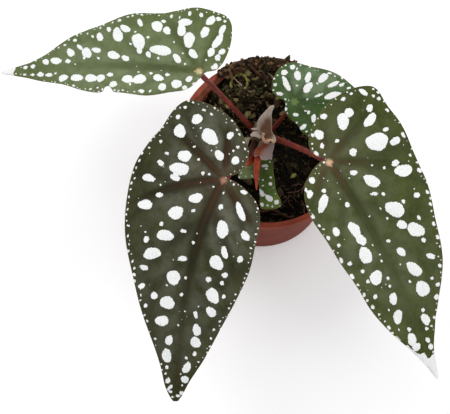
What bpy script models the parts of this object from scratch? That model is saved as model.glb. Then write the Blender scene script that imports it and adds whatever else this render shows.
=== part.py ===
"""A potted begonia with three large spotted, lopsided leaves and two small ones.

Sizes are in millimetres in the values below, and in metres in the model, +Z up.
The origin is the middle of the pot's flat base. The large leaves reach to the
left (-X), to the front (-Y) and to the front right of the pot.
"""

import math
from typing import NamedTuple

import bmesh
import bpy
from mathutils import Vector, noise
from mathutils.geometry import delaunay_2d_cdt

MM = 0.001
CLEAR = 0.3

# The pot, a thin plastic one
POT_HEIGHT = 90.0
BASE_RADIUS = 42.0
RIM_RADIUS = 52.5
WALL = 1.3
FLOOR = 2.0
LIP_WIDTH = 1.6
LIP_HEIGHT = 5.0
LIP_ROUND = 1.4
FOOT_ROUND = 1.5
POT_SIDES = 48
DRAIN_COUNT = 6
DRAIN_RADIUS = 3.5
DRAIN_CIRCLE = 29.0
DRAIN_SIDES = 16

# The soil, and how it is heaped
SOIL_LEVEL = 67.0
SOIL_BACK_RISE = 21.5
SOIL_BACK_START = 8.0
SOIL_BACK_DEPTH = 27.0
SOIL_BACK_HALF_WIDTH = 34.0
SOIL_MOUND = 3.0
SOIL_MOUND_RADIUS = 20.0
SOIL_BUMP = 1.6
SOIL_BUMP_SIZE = 7.0
SOIL_CHORD_GAP = 0.15
SOIL_SIDES = 48
SOIL_RINGS = 11

# The cane, an upright stem ringed at its nodes
CANE_X = -3.0
CANE_Y = 1.5
CANE_FOOT = 56.0
CANE_SHOWS_FROM = 70.0
CANE_DOME = 6.0
CANE_DOME_SHAPE = ((0.84, 0.08), (0.55, 0.4), (0.28, 0.8))
CANE_STEP = 2.0
CANE_TOP = 113.0
CANE_RADIUS = 4.7
CANE_RING_HEIGHTS = (78.0, 86.0, 93.0, 98.0, 103.0)
CANE_RING_RISE = 0.5
CANE_RING_WIDTH = 1.6
CANE_SIDES = 16

# Blades and stalks
BLADE_THICKNESS = 0.7
MIDRIB_SOFTNESS = 5.0
PLEAT_HEIGHT = 0.7
PLEAT_COUNT = 7
PLEAT_LEAN = 0.12
PLEAT_START = 18.0
PLEAT_LEAF = 120.0
MIDRIB_FLAT = 6.0
WAVE_LENGTH = 27.0
WAVE_REACH = 9.0
WAVE_SLANT = 0.6
WAVE_PHASES = (0.9, 2.6)
WAVE_FLAT = 8.0
MIDRIB_FIRST = -45
MIDRIB_SPARE = 8
CURVE_STEPS = 12
STALK_FOOT_RADIUS = 2.3
STALK_RADIUS = 1.75
STALK_SIDES = 10
STALK_STEPS = 12
STALK_BEND_AT = 0.45
STALK_SWELL_FADE = 7.0

# The papery stipules and the red sheaths
PAPER_THICKNESS = 0.6
RIDGE_RADIUS = 0.55
RIDGE_SIDES = 7
RIDGE_SPACING = 0.8
SHEATH_SIDES = 10
SHEATH_STEPS = 12
SHEATH_TIP_RADIUS = 0.12
SHEATH_SWELL_START = 0.2
SHEATH_SWELL_SPAN = 0.78
SHEATH_SWELL_LEAN = 1.1

# The moss strand, an arc on the soil
MOSS_MIDDLE = (-15.7, 37.0)
MOSS_REACH = (4.9, 5.6)
MOSS_START = 205.0
MOSS_END = -50.0
MOSS_RADIUS = 0.9
MOSS_SIDES = 6
MOSS_STEPS = 22

# The root that lies in front of the cane
ROOT_START = (-4.0, -36.0)
ROOT_END = (17.0, -40.0)
ROOT_WINDING = 1.2
ROOT_TURNS = 0.35
ROOT_RADIUS = 1.1
ROOT_TAPER = 0.5
ROOT_SIDES = 7
ROOT_STEPS = 12

# The bark heaped over the back of the lip: its crest is (direction, rise)
HEAP_CREST = (
    (56.0, 0.4), (60.0, 1.5), (66.0, 0.9), (73.0, 1.6), (80.0, 0.8), (86.0, 1.1),
    (91.5, 2.3), (95.5, 1.0), (99.5, 3.3), (103.0, 1.3), (110.5, 2.5), (114.0, 1.0),
    (119.0, 1.3), (125.0, 0.4),
)
HEAP_RADII = (46.2, 53.3)
HEAP_TAPER = 6.0
HEAP_END_WIDTH = 0.35
HEAP_STEPS = 46
HEAP_COLUMNS = 7
HEAP_EDGE = 0.35
HEAP_BUMP = 0.7
HEAP_BUMP_SIZE = 2.6
SOIL_SPARE = 0.25


class Blade(NamedTuple):
    """A leaf blade. Its outline is (along the midrib, out to the broad side)."""

    attach: tuple
    length: float
    heading: float
    sweep: float
    pitch: float
    droop: float
    roll: float
    lift: float
    curl: float
    broad_side: int
    wave: float
    spacing: float
    outline: tuple


class Stalk(NamedTuple):
    """A leaf's stalk: where it leaves the cane, how high, and how it bows."""

    direction: float
    height: float
    bow: float
    size: float


class Sheath(NamedTuple):
    """A sheath: where it leaves the cane, its halfway point, its tip, its radius."""

    direction: float
    height: float
    halfway: tuple
    tip: tuple
    radius: float


BLADES = {
    "blade_left": Blade(
        attach=(-37.7, 16.9, 152.0),
        length=113.0,
        heading=172.5,
        sweep=5.4,
        pitch=2.0,
        droop=24.0,
        roll=-4.0,
        lift=9.0,
        curl=3.2,
        broad_side=1,
        wave=1.3,
        spacing=4.6,
        outline=(
            (-3, 0), (-9, 3), (-13, 11), (-14.5, 21), (-13, 31), (-8, 37),
            (3, 37.5), (16, 35.5), (30, 32.5), (45, 29), (58, 24), (70, 18),
            (84, 10), (98, 4), (113, 0.5), (105, -2.5), (91, -6.5), (77, -10),
            (63, -15), (52, -16), (49.8, -13.2), (47.5, -12.8), (45.2, -15.2),
            (43, -17), (30, -17.5), (14, -15), (5, -10.5), (0, -5),
        ),
    ),
    "blade_front": Blade(
        attach=(-24.6, -45.5, 158.0),
        length=118.6,
        heading=-119.1,
        sweep=25.2,
        pitch=2.0,
        droop=34.0,
        roll=4.0,
        lift=9.0,
        curl=3.0,
        broad_side=1,
        wave=1.5,
        spacing=4.8,
        outline=(
            (-2, 0), (-6, -4), (-13, -5.5), (-20, -3.5), (-27, 5), (-31, 15),
            (-31.5, 27), (-28.5, 37), (-19, 41), (-7, 42), (4, 43),
            (13, 44), (26, 41), (42, 35.5), (58, 27.5), (72, 21), (86, 14.5),
            (99, 9), (111, 5.5), (118.5, 1), (116, -2.5), (106, -7), (94, -13),
            (80, -19), (62, -25), (45, -29), (29, -28.5), (14, -26.5), (4, -21),
            (-0.5, -14), (-1.8, -7),
        ),
    ),
    "blade_right": Blade(
        attach=(28.9, -36.5, 160.0),
        length=125.5,
        heading=-57.4,
        sweep=-7.6,
        pitch=2.0,
        droop=32.0,
        roll=-3.0,
        lift=9.0,
        curl=3.0,
        broad_side=-1,
        wave=1.5,
        spacing=4.8,
        outline=(
            (-2.5, 0), (-6.5, -3.5), (-12.5, -3.5), (-18.5, 1), (-23, 8.5),
            (-26.5, 18), (-27, 28), (-24.5, 37), (-19, 43), (-8, 43), (6, 41.5),
            (20, 39.5), (34, 36.5), (48, 32.5), (62, 28), (74, 23), (86, 16.5),
            (98, 9), (110, 3.5), (125.5, 0), (116, -3.5), (104, -8.5),
            (91, -14.5), (77, -18.5), (61, -20.5), (44, -22.5), (28, -23.5),
            (14, -22.5), (5, -18), (0.5, -12), (-2, -5.5),
        ),
    ),
    "blade_back": Blade(
        attach=(15.6, 17.4, 108.0),
        length=58.0,
        heading=-2.0,
        sweep=-10.0,
        pitch=5.0,
        droop=25.0,
        roll=0.0,
        lift=7.0,
        curl=5.0,
        broad_side=-1,
        wave=1.0,
        spacing=3.6,
        outline=(
            (-5, 0), (-8.5, 2.5), (-12, 5.5), (-13, 10), (-12, 15), (-9, 20.5),
            (-4.5, 24.5), (1, 25), (7, 23), (14, 21.5), (22, 19.5), (31, 15),
            (41, 8.5), (50, 3.5), (58, 0), (50, -5), (41, -11.5), (32, -17),
            (22, -21), (13, -22), (6, -19), (2.5, -14), (-2, -10.5), (-5, -6),
        ),
    ),
    "blade_low": Blade(
        attach=(-3.2, -16.0, 86.5),
        length=30.0,
        heading=-72.0,
        sweep=0.0,
        pitch=5.0,
        droop=8.0,
        roll=0.0,
        lift=6.0,
        curl=6.0,
        broad_side=1,
        wave=0.5,
        spacing=3.0,
        outline=(
            (-6.7, -0.6), (-6.6, 3.1), (-5.0, 7.4), (-2.4, 11.7), (0.1, 14.0),
            (2.2, 13.8), (3.5, 10.2), (4.4, 6.2), (6.0, 4.6), (8.7, 4.2),
            (12.4, 4.9), (16.5, 6.1), (20.0, 7.3), (23.1, 7.8), (24.3, 6.1),
            (25.4, 2.8), (26.2, -0.6), (25.7, -3.4), (23.8, -4.7), (20.3, -4.7),
            (16.7, -4.2), (12.4, -4.8), (7.5, -5.9), (2.5, -6.9), (-2.4, -8.1),
            (-5.4, -8.3), (-6.9, -5.0),
        ),
    ),
}

STALKS = {
    "blade_left": Stalk(direction=156.0, height=98.0, bow=-2.5, size=1.0),
    "blade_front": Stalk(direction=230.0, height=93.0, bow=2.0, size=1.05),
    "blade_right": Stalk(direction=346.5, height=97.0, bow=9.1, size=1.05),
    "blade_back": Stalk(direction=41.0, height=86.0, bow=1.5, size=0.8),
    "blade_low": Stalk(direction=264.0, height=77.0, bow=3.2, size=0.7),
}

# The stipules are sheets shaped as small blades are
PAPERS = {
    "stipule_back": Blade(
        attach=(0.8, -6.6, 113.1),
        length=22.0,
        heading=97.0,
        sweep=0.0,
        pitch=2.0,
        droop=-70.0,
        roll=10.0,
        lift=0.0,
        curl=35.0,
        broad_side=-1,
        wave=0.4,
        spacing=1.8,
        outline=(
            (19.4, -4.3), (19.5, -2.7), (16.8, -0.2), (13.9, 2.4), (11.0, 4.9),
            (8.7, 5.9), (6.8, 6.5), (6.7, 8.0), (6.4, 10.1), (5.7, 8.5), (5.3, 6.2),
            (4.1, 4.7), (2.4, 3.3), (0.5, 3.3), (-1.7, 2.8), (-2.3, 2.2),
            (-1.6, 0.7), (-1.1, -1.0), (-2.5, -2.0), (-3.4, -2.7), (-2.2, -3.7),
            (-0.3, -3.7), (1.8, -2.9), (4.1, -2.1), (7.5, -2.5), (10.7, -2.8),
            (13.0, -2.8), (15.7, -3.4), (18.3, -4.5),
        ),
    ),
    "stipule_tip": Blade(
        attach=(-4.5, -2.5, 110.0),
        length=8.0,
        heading=190.0,
        sweep=0.0,
        pitch=0.0,
        droop=14.0,
        roll=0.0,
        lift=0.0,
        curl=30.0,
        broad_side=1,
        wave=0.3,
        spacing=1.5,
        outline=(
            (5.3, 0.2), (3.8, 1.3), (2.2, 1.5), (0.6, 1.8), (-0.9, 1.1),
            (-1.6, -0.4), (-1.2, -2.3), (0.2, -3.0), (1.8, -2.1), (3.4, -1.4),
            (4.8, -1.2),
        ),
    ),
    "stipule_front": Blade(
        attach=(-2.0, -7.0, 101.5),
        length=12.0,
        heading=262.0,
        sweep=0.0,
        pitch=-8.0,
        droop=10.0,
        roll=0.0,
        lift=0.0,
        curl=25.0,
        broad_side=1,
        wave=0.4,
        spacing=1.8,
        outline=(
            (-2.6, 2.0), (-1.5, -0.4), (-1.9, -2.9), (-2.1, -5.8), (0.5, -6.1),
            (3.2, -5.7), (5.7, -5.9), (7.3, -4.5), (8.3, -2.1), (8.1, 0.4),
            (6.5, 1.2), (6.0, 2.4), (7.0, 4.0), (5.6, 5.0), (3.1, 4.4),
            (1.1, 3.2), (-0.8, 2.8),
        ),
    ),
    "stipule_side": Blade(
        attach=(-10.9, -6.0, 97.5),
        length=6.0,
        heading=105.0,
        sweep=0.0,
        pitch=0.0,
        droop=0.0,
        roll=0.0,
        lift=0.0,
        curl=30.0,
        broad_side=1,
        wave=0.2,
        spacing=1.4,
        outline=(
            (5.6, -0.6), (5.5, 1.8), (5.0, 3.4), (4.2, 3.4), (3.6, 2.2), (2.0, 1.1),
            (0.5, 0.1), (0.8, -0.9), (3.4, -0.9),
        ),
    ),
}

# The rolled edge of the back stipule, on its flat form
RIDGE = (
    (3.4, 2.5), (1.8, 3.0), (0.2, 3.2), (-1.5, 2.8), (-2.3, 1.9), (-1.9, 0.7),
    (-1.5, -0.6), (-2.1, -1.7), (-3.1, -2.5), (-2.4, -3.3),
)

SHEATHS = {
    "sheath_short": Sheath(240.0, 85.5, (-9.2, -13.6, 93.6), (-12.7, -17.3, 96.0), 1.8),
    "sheath_long": Sheath(268.0, 90.5, (-5.7, -17.6, 97.4), (-6.0, -32.8, 98.5), 1.85),
}

# Colours, as red, green and blue on Blender's linear scale, and roughness
FINISHES = {
    "plastic": ((0.16, 0.05, 0.03), 0.45),
    "soil": ((0.016, 0.011, 0.008), 0.95),
    "litter": ((0.10, 0.07, 0.045), 0.9),
    "moss": ((0.055, 0.06, 0.018), 0.9),
    "cane": ((0.10, 0.07, 0.04), 0.6),
    "stalk": ((0.25, 0.045, 0.04), 0.4),
    "leaf_green": ((0.045, 0.09, 0.03), 0.4),
    "leaf_olive": ((0.035, 0.04, 0.018), 0.38),
    "leaf_young": ((0.035, 0.13, 0.03), 0.4),
    "paper": ((0.35, 0.28, 0.20), 0.8),
    "sheath": ((0.42, 0.05, 0.04), 0.4),
}


def clear_scene():
    """Remove the objects that the scene starts with."""
    for obj in list(bpy.data.objects):
        bpy.data.objects.remove(obj, do_unlink=True)


def finish_material(name, finish):
    """A material of one object's own, in the colour and roughness of a finish."""
    colour, roughness = FINISHES[finish]
    material = bpy.data.materials.new(name + "_finish")
    material.use_nodes = True
    shader = material.node_tree.nodes["Principled BSDF"]
    shader.inputs["Base Color"].default_value = (*colour, 1.0)
    shader.inputs["Roughness"].default_value = roughness
    return material


def add_object(name, points, faces, finish, smooth_angle=40.0):
    """Make one object from points in millimetres and faces that share them."""
    mesh = bpy.data.meshes.new(name)
    mesh.from_pydata([Vector(point) * MM for point in points], [], faces)
    shape = bmesh.new()
    shape.from_mesh(mesh)
    bmesh.ops.recalc_face_normals(shape, faces=shape.faces)
    shape.to_mesh(mesh)
    shape.free()
    mesh.shade_smooth()
    mesh.set_sharp_from_angle(angle=math.radians(smooth_angle))
    obj = bpy.data.objects.new(name, mesh)
    obj.data.materials.append(finish_material(name, finish))
    bpy.context.scene.collection.objects.link(obj)
    return obj


def cut(obj, cutter):
    """Take the cutter's shape out of an object."""
    cutter.hide_render = True
    cutter.display_type = "WIRE"
    modifier = obj.modifiers.new("cut", "BOOLEAN")
    modifier.operation = "DIFFERENCE"
    modifier.solver = "EXACT"
    modifier.object = cutter


def smooth_step(value):
    """Ease from 0 to 1 as the value goes from 0 to 1."""
    value = min(1.0, max(0.0, value))
    return value * value * (3.0 - 2.0 * value)


def revolve(profile, sides, centre=(0.0, 0.0)):
    """Turn a profile of (radius, height) whose two ends lie on the axis."""
    points = [(centre[0], centre[1], profile[0][1]), (centre[0], centre[1], profile[-1][1])]
    rings = []
    for radius, height in profile[1:-1]:
        ring = []
        for side in range(sides):
            angle = math.tau * side / sides
            ring.append(len(points))
            x = centre[0] + radius * math.cos(angle)
            y = centre[1] + radius * math.sin(angle)
            points.append((x, y, height))
        rings.append(ring)
    faces = []
    for side in range(sides):
        after = (side + 1) % sides
        faces.append((0, rings[0][side], rings[0][after]))
        faces.append((1, rings[-1][after], rings[-1][side]))
        for low, high in zip(rings, rings[1:]):
            faces.append((low[side], high[side], high[after], low[after]))
    return points, faces


def inner_radius(height):
    """The pot's inside radius at a height."""
    top_radius = RIM_RADIUS - LIP_WIDTH
    return BASE_RADIUS + (top_radius - BASE_RADIUS) * height / POT_HEIGHT - WALL


def make_pot():
    """The pot: a tapered wall with a rolled lip, and drain holes round its floor."""
    lip_foot = POT_HEIGHT - LIP_HEIGHT
    flat_radius = DRAIN_CIRCLE + DRAIN_RADIUS
    profile = [
        (0.0, 0.0),
        (flat_radius, 0.0),
        (BASE_RADIUS - FOOT_ROUND, 0.0),
        (BASE_RADIUS - 0.3 * FOOT_ROUND, 0.3 * FOOT_ROUND),
        (inner_radius(FOOT_ROUND) + WALL, FOOT_ROUND),
        (inner_radius(lip_foot) + WALL, lip_foot),
        (RIM_RADIUS - 0.3 * LIP_ROUND, lip_foot + 0.3 * LIP_ROUND),
        (RIM_RADIUS, lip_foot + 0.8 * LIP_ROUND),
        (RIM_RADIUS, POT_HEIGHT - LIP_ROUND),
        (RIM_RADIUS - 0.3 * LIP_ROUND, POT_HEIGHT - 0.3 * LIP_ROUND),
        (RIM_RADIUS - LIP_ROUND, POT_HEIGHT),
        (inner_radius(POT_HEIGHT) + 0.4 * LIP_ROUND, POT_HEIGHT - 0.3 * LIP_ROUND),
        (inner_radius(POT_HEIGHT - LIP_ROUND), POT_HEIGHT - LIP_ROUND),
        (inner_radius(0.5 * POT_HEIGHT), 0.5 * POT_HEIGHT),
        (inner_radius(FLOOR + FOOT_ROUND), FLOOR + FOOT_ROUND),
        (inner_radius(FLOOR) - FOOT_ROUND, FLOOR),
        (flat_radius, FLOOR),
        (0.0, FLOOR),
    ]
    points, faces = revolve(profile, POT_SIDES)
    pot = add_object("pot", points, faces, "plastic")

    drill_points = []
    drill_faces = []
    for hole in range(DRAIN_COUNT):
        angle = math.tau * (hole + 0.5) / DRAIN_COUNT
        middle = (DRAIN_CIRCLE * math.cos(angle), DRAIN_CIRCLE * math.sin(angle))
        low = -FLOOR
        high = 2.0 * FLOOR
        drill = [(0.0, low), (DRAIN_RADIUS, low), (DRAIN_RADIUS, high), (0.0, high)]
        hole_points, hole_faces = revolve(drill, DRAIN_SIDES, middle)
        start = len(drill_points)
        drill_points += hole_points
        drill_faces += [tuple(start + corner for corner in face) for face in hole_faces]
    cut(pot, add_object("drain_cutter", drill_points, drill_faces, "plastic"))


def soil_height(x, y):
    """Height of the soil: low at the left and front, heaped up at the back."""
    depth = smooth_step((y - SOIL_BACK_START) / SOIL_BACK_DEPTH)
    width = math.exp(-((x / SOIL_BACK_HALF_WIDTH) ** 4))
    from_cane = math.hypot(x - CANE_X, y - CANE_Y)
    mound = SOIL_MOUND * math.exp(-((from_cane / SOIL_MOUND_RADIUS) ** 2))
    spot = Vector((x, y, 3.0)) / SOIL_BUMP_SIZE
    bumps = SOIL_BUMP * (noise.noise(spot) + 0.5 * noise.noise(spot * 2.1))
    near_wall = smooth_step((inner_radius(POT_HEIGHT) - math.hypot(x, y)) / SOIL_BUMP_SIZE)
    return SOIL_LEVEL + SOIL_BACK_RISE * depth * width + mound + bumps * near_wall


def make_soil():
    """The soil: its relief on top, the pot's taper at its side, a hole for the cane."""
    points = [(0.0, 0.0, soil_height(0.0, 0.0)), (0.0, 0.0, FLOOR + CLEAR)]
    rings = [[] for _ in range(SOIL_RINGS + 3)]
    wall_gap = CLEAR + SOIL_CHORD_GAP
    low_edge = FLOOR + CLEAR + FOOT_ROUND
    for side in range(SOIL_SIDES):
        angle = math.tau * (side + 0.5) / SOIL_SIDES
        outward = Vector((math.cos(angle), math.sin(angle)))
        edge = soil_height(*(outward * inner_radius(SOIL_LEVEL)))
        column = []
        for ring in range(1, SOIL_RINGS + 1):
            spot = outward * (inner_radius(edge) - wall_gap) * ring / SOIL_RINGS
            height = edge if ring == SOIL_RINGS else soil_height(*spot)
            column.append((*spot, height))
        low_radius = inner_radius(low_edge) - FOOT_ROUND - wall_gap
        column.append((*(outward * (inner_radius(2.0 * low_edge) - wall_gap)), 2.0 * low_edge))
        column.append((*(outward * low_radius), low_edge))
        column.append((*(outward * (low_radius - FOOT_ROUND)), FLOOR + CLEAR))
        for ring, point in zip(rings, column):
            ring.append(len(points))
            points.append(point)
    faces = []
    for side in range(SOIL_SIDES):
        after = (side + 1) % SOIL_SIDES
        faces.append((0, rings[0][side], rings[0][after]))
        faces.append((1, rings[-1][after], rings[-1][side]))
        for inner, outer in zip(rings, rings[1:]):
            faces.append((inner[side], outer[side], outer[after]))
            faces.append((inner[side], outer[after], inner[after]))
    soil = add_object("soil", points, faces, "soil")

    bore = CANE_RADIUS + CLEAR
    low = CANE_FOOT - CLEAR
    hole = [(0.0, low), (bore, low), (bore, CANE_TOP), (0.0, CANE_TOP)]
    points, faces = revolve(hole, CANE_SIDES, (CANE_X, CANE_Y))
    cut(soil, add_object("cane_cutter", points, faces, "soil"))


def cane_radius(height):
    """The cane's radius at a height, with its rings."""
    radius = CANE_RADIUS
    for ring in CANE_RING_HEIGHTS:
        radius += CANE_RING_RISE * math.exp(-((height - ring) / CANE_RING_WIDTH) ** 2)
    return radius


def make_cane():
    """The cane, from its foot in the soil to its rounded top."""
    profile = [(0.0, CANE_FOOT), (CANE_RADIUS, CANE_FOOT)]
    straight_top = CANE_TOP - CANE_DOME
    steps = round((straight_top - CANE_SHOWS_FROM) / CANE_STEP)
    for step in range(steps + 1):
        height = CANE_SHOWS_FROM + (straight_top - CANE_SHOWS_FROM) * step / steps
        profile.append((cane_radius(height), height))
    for width, rise in CANE_DOME_SHAPE:
        profile.append((CANE_RADIUS * width, straight_top + CANE_DOME * rise))
    profile.append((0.0, CANE_TOP))
    points, faces = revolve(profile, CANE_SIDES, (CANE_X, CANE_Y))
    add_object("cane", points, faces, "cane")


def midrib_frames(blade):
    """Point, forward, right and up at each millimetre of the midrib, by distance."""
    last = int(blade.length) + MIDRIB_SPARE
    frames = {}
    point = Vector(blade.attach)
    for direction in (1, -1):
        here = point.copy()
        distance = 0
        while MIDRIB_FIRST <= distance <= last:
            share = min(1.0, max(0.0, distance / blade.length))
            turn = math.radians(blade.heading + blade.sweep * (1.0 - (1.0 - share) ** 2))
            climb = math.radians(blade.pitch - blade.droop * share)
            level = math.cos(climb)
            forward = Vector((math.cos(turn) * level, math.sin(turn) * level, math.sin(climb)))
            right = Vector((math.sin(turn), -math.cos(turn), 0.0))
            up = right.cross(forward)
            roll = math.radians(blade.roll)
            tilted_right = right * math.cos(roll) + up * math.sin(roll)
            tilted_up = up * math.cos(roll) - right * math.sin(roll)
            frames[distance] = (here.copy(), forward, tilted_right, tilted_up)
            here += forward * direction
            distance += direction
    return frames


def closest_rim(rim, along, out):
    """Distance from a spot of the flat blade to the nearest point of its outline."""
    return min(math.hypot(along - a, out - b) for a, b in rim)


def blade_relief(blade, along, out, rim_distance):
    """How far a spot is raised: pleats between the main veins, and a waved margin."""
    reach = math.hypot(along, out)
    angle = math.atan2(out, along + PLEAT_LEAN * reach)
    pleat = PLEAT_HEIGHT * math.cos(PLEAT_COUNT * angle) * (1.0 - math.exp(-reach / PLEAT_START))
    pleat *= 1.0 - math.exp(-((out / MIDRIB_FLAT) ** 2))
    margin = math.exp(-((rim_distance / WAVE_REACH) ** 2))
    phase = WAVE_PHASES[0] if out > 0.0 else WAVE_PHASES[1]
    ripple = math.sin(math.tau * (along + WAVE_SLANT * abs(out)) / WAVE_LENGTH + phase)
    wave = blade.wave * margin * ripple * (1.0 - math.exp(-((out / WAVE_FLAT) ** 2)))
    return -pleat * blade.length / PLEAT_LEAF + wave


def blade_point(blade, frames, along, out, raised=0.0):
    """Place a spot of the flat blade in the model."""
    below = math.floor(along)
    share = along - below
    middle, _, right, up = [
        one.lerp(two, share) for one, two in zip(frames[below], frames[below + 1])
    ]
    side = out * blade.broad_side
    slope = math.tan(math.radians(blade.lift))
    rise = slope * (math.hypot(side, MIDRIB_SOFTNESS) - MIDRIB_SOFTNESS)
    rise -= blade.curl * side * side / 1000.0
    return middle + right * side + up * (rise + raised)


def blade_normal(blade, frames, along, out):
    """The direction that the blade's upper face looks in at a spot."""
    step = 0.5
    forward = blade_point(blade, frames, along + step, out)
    forward -= blade_point(blade, frames, along - step, out)
    across = blade_point(blade, frames, along, out + step * blade.broad_side)
    across -= blade_point(blade, frames, along, out - step * blade.broad_side)
    return across.cross(forward).normalized()


def even_outline(points, spacing):
    """A smooth closed curve through the outline's points, in even steps."""
    fine = []
    count = len(points)
    for index in range(count):
        before, start, end, after = [Vector(points[(index + k) % count]) for k in (-1, 0, 1, 2)]
        for step in range(CURVE_STEPS):
            t = step / CURVE_STEPS
            curve = start * 2.0 + (end - before) * t
            curve += (before * 2.0 - start * 5.0 + end * 4.0 - after) * t * t
            curve += (start * 3.0 - before - end * 3.0 + after) * t ** 3
            fine.append(curve * 0.5)
    lengths = [0.0]
    for one, two in zip(fine, fine[1:] + fine[:1]):
        lengths.append(lengths[-1] + (two - one).length)
    fine.append(fine[0])
    steps = round(lengths[-1] / spacing)
    even = []
    index = 0
    for step in range(steps):
        target = lengths[-1] * step / steps
        while lengths[index + 1] < target:
            index += 1
        share = (target - lengths[index]) / (lengths[index + 1] - lengths[index])
        even.append(tuple(fine[index].lerp(fine[index + 1], share)))
    return even


def inside(rim, along, out):
    """Whether a spot lies inside a closed outline."""
    odd = False
    for (a1, o1), (a2, o2) in zip(rim, rim[1:] + rim[:1]):
        if (o1 > out) != (o2 > out):
            if along < a1 + (out - o1) * (a2 - a1) / (o2 - o1):
                odd = not odd
    return odd


def flat_triangles(blade):
    """Fill a blade's outline with even triangles: its spots, and the triangles."""
    rim = even_outline(blade.outline, blade.spacing * 0.68)
    spots = list(rim)
    row_gap = blade.spacing * math.sqrt(3.0) / 2.0
    lowest = min(along for along, _ in rim)
    farthest = max(along for along, _ in rim)
    widest = max(abs(out) for _, out in rim)
    rows = int((farthest - lowest) / row_gap) + 1
    columns = int(widest / blade.spacing) + 2
    for row in range(rows):
        along = lowest + (row + 0.5) * row_gap
        for column in range(-columns, columns):
            out = (column + 0.5 * (row % 2)) * blade.spacing
            clear = closest_rim(rim, along, out) > 0.62 * blade.spacing
            if clear and inside(rim, along, out):
                spots.append((along, out))
    flat = [Vector((out * blade.broad_side, along)) for along, out in spots]
    edge = list(range(len(rim)))
    corners, _, triangles, _, _, _ = delaunay_2d_cdt(flat, [], [edge], 1, 0.0001)
    spots = [(corner.y, corner.x * blade.broad_side) for corner in corners]
    return rim, spots, [tuple(triangle) for triangle in triangles]


def close_sheet(top, bottom, triangles):
    """Close the space between two sheets that share their triangles."""
    count = len(top)
    points = top + bottom
    faces = list(triangles)
    faces += [(c + count, b + count, a + count) for a, b, c in triangles]
    directed = set()
    for a, b, c in triangles:
        directed.update(((a, b), (b, c), (c, a)))
    for a, b in sorted(directed):
        if (b, a) not in directed:
            faces.append((b, a, a + count))
            faces.append((b, a + count, b + count))
    return points, faces


def make_blade(name, blade, finish, thickness):
    """One leaf blade, or a stipule."""
    frames = midrib_frames(blade)
    rim, spots, triangles = flat_triangles(blade)
    top = []
    bottom = []
    for along, out in spots:
        raised = blade_relief(blade, along, out, closest_rim(rim, along, out))
        middle = blade_point(blade, frames, along, out, raised)
        half = blade_normal(blade, frames, along, out) * thickness * 0.5
        top.append(middle + half)
        bottom.append(middle - half)
    points, faces = close_sheet(top, bottom, triangles)
    add_object(name, points, faces, finish, smooth_angle=75.0)


def slide_to_plane(point, along, plane):
    """Move a point along a direction until it reaches a plane."""
    spot, normal = plane
    return point + along * ((spot - point).dot(normal) / along.dot(normal))


def tube(path, radii, sides, start_plane=None, end_plane=None):
    """A round tube along a path, its ends cut square or along a given plane."""
    points = []
    side = None
    for index, middle in enumerate(path):
        before = path[max(0, index - 1)]
        after = path[min(len(path) - 1, index + 1)]
        forward = (after - before).normalized()
        if side is None:
            side = forward.orthogonal().normalized()
        side = (side - forward * side.dot(forward)).normalized()
        other = forward.cross(side)
        for turn in range(sides):
            angle = math.tau * turn / sides
            out = side * math.cos(angle) + other * math.sin(angle)
            point = middle + out * radii[index]
            if index == 0 and start_plane:
                point = slide_to_plane(point, forward, start_plane)
            if index == len(path) - 1 and end_plane:
                point = slide_to_plane(point, forward, end_plane)
            points.append(point)
    faces = [tuple(range(sides)), tuple(range(len(points) - sides, len(points)))]
    for index in range(len(path) - 1):
        for turn in range(sides):
            after = (turn + 1) % sides
            low = index * sides
            high = low + sides
            faces.append((low + turn, low + after, high + after, high + turn))
    return points, faces


def bezier(start, middle, end, steps):
    """Points on a curve that leaves the start towards the middle point."""
    path = []
    for step in range(steps + 1):
        t = step / steps
        path.append(start * (1 - t) ** 2 + middle * 2 * t * (1 - t) + end * t * t)
    return path


def compass(degrees):
    """The level direction at a number of degrees round from +X."""
    angle = math.radians(degrees)
    return Vector((math.cos(angle), math.sin(angle), 0.0))


def on_cane(direction, height, gap=CLEAR):
    """A point beside the cane, clear of its rings by the gap."""
    axis = Vector((CANE_X, CANE_Y, height))
    return axis + compass(direction) * (CANE_RADIUS + CANE_RING_RISE + gap)


def make_stalk(name, stalk, blade):
    """A leaf's stalk, from the cane up to the underside of its blade."""
    outward = compass(stalk.direction)
    foot = on_cane(stalk.direction, stalk.height)
    frames = midrib_frames(blade)
    normal = blade_normal(blade, frames, 0.5, 0.0)
    under = blade_point(blade, frames, 0.5, 0.0)
    under -= normal * (BLADE_THICKNESS * 0.5 + CLEAR)
    lowest = (under - foot).normalized()
    bend = foot + (under - foot) * STALK_BEND_AT + (outward - lowest * outward.dot(lowest)) * stalk.bow
    path = bezier(foot, bend, under, STALK_STEPS)
    radii = []
    for step in range(STALK_STEPS + 1):
        share = step / STALK_STEPS
        swell = math.exp(-share * STALK_SWELL_FADE)
        radius = STALK_RADIUS + (STALK_FOOT_RADIUS - STALK_RADIUS) * swell
        radii.append(radius * stalk.size)
    points, faces = tube(path, radii, STALK_SIDES, (foot, outward), (under, normal))
    add_object(name, points, faces, "stalk", smooth_angle=50.0)


def make_ridge(blade):
    """The rolled edge along the front of the back stipule."""
    frames = midrib_frames(blade)
    rim = even_outline(blade.outline, RIDGE_SPACING)
    on_top = PAPER_THICKNESS * 0.5 + CLEAR + RIDGE_RADIUS
    closed = RIDGE + RIDGE[-2:0:-1]
    line = even_outline(closed, RIDGE_SPACING)
    path = []
    for along, out in line[:len(line) // 2]:
        raised = blade_relief(blade, along, out, closest_rim(rim, along, out))
        path.append(blade_point(blade, frames, along, out, raised + on_top))
    points, faces = tube(path, [RIDGE_RADIUS] * len(path), RIDGE_SIDES)
    add_object("stipule_ridge", points, faces, "paper", smooth_angle=60.0)


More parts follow.
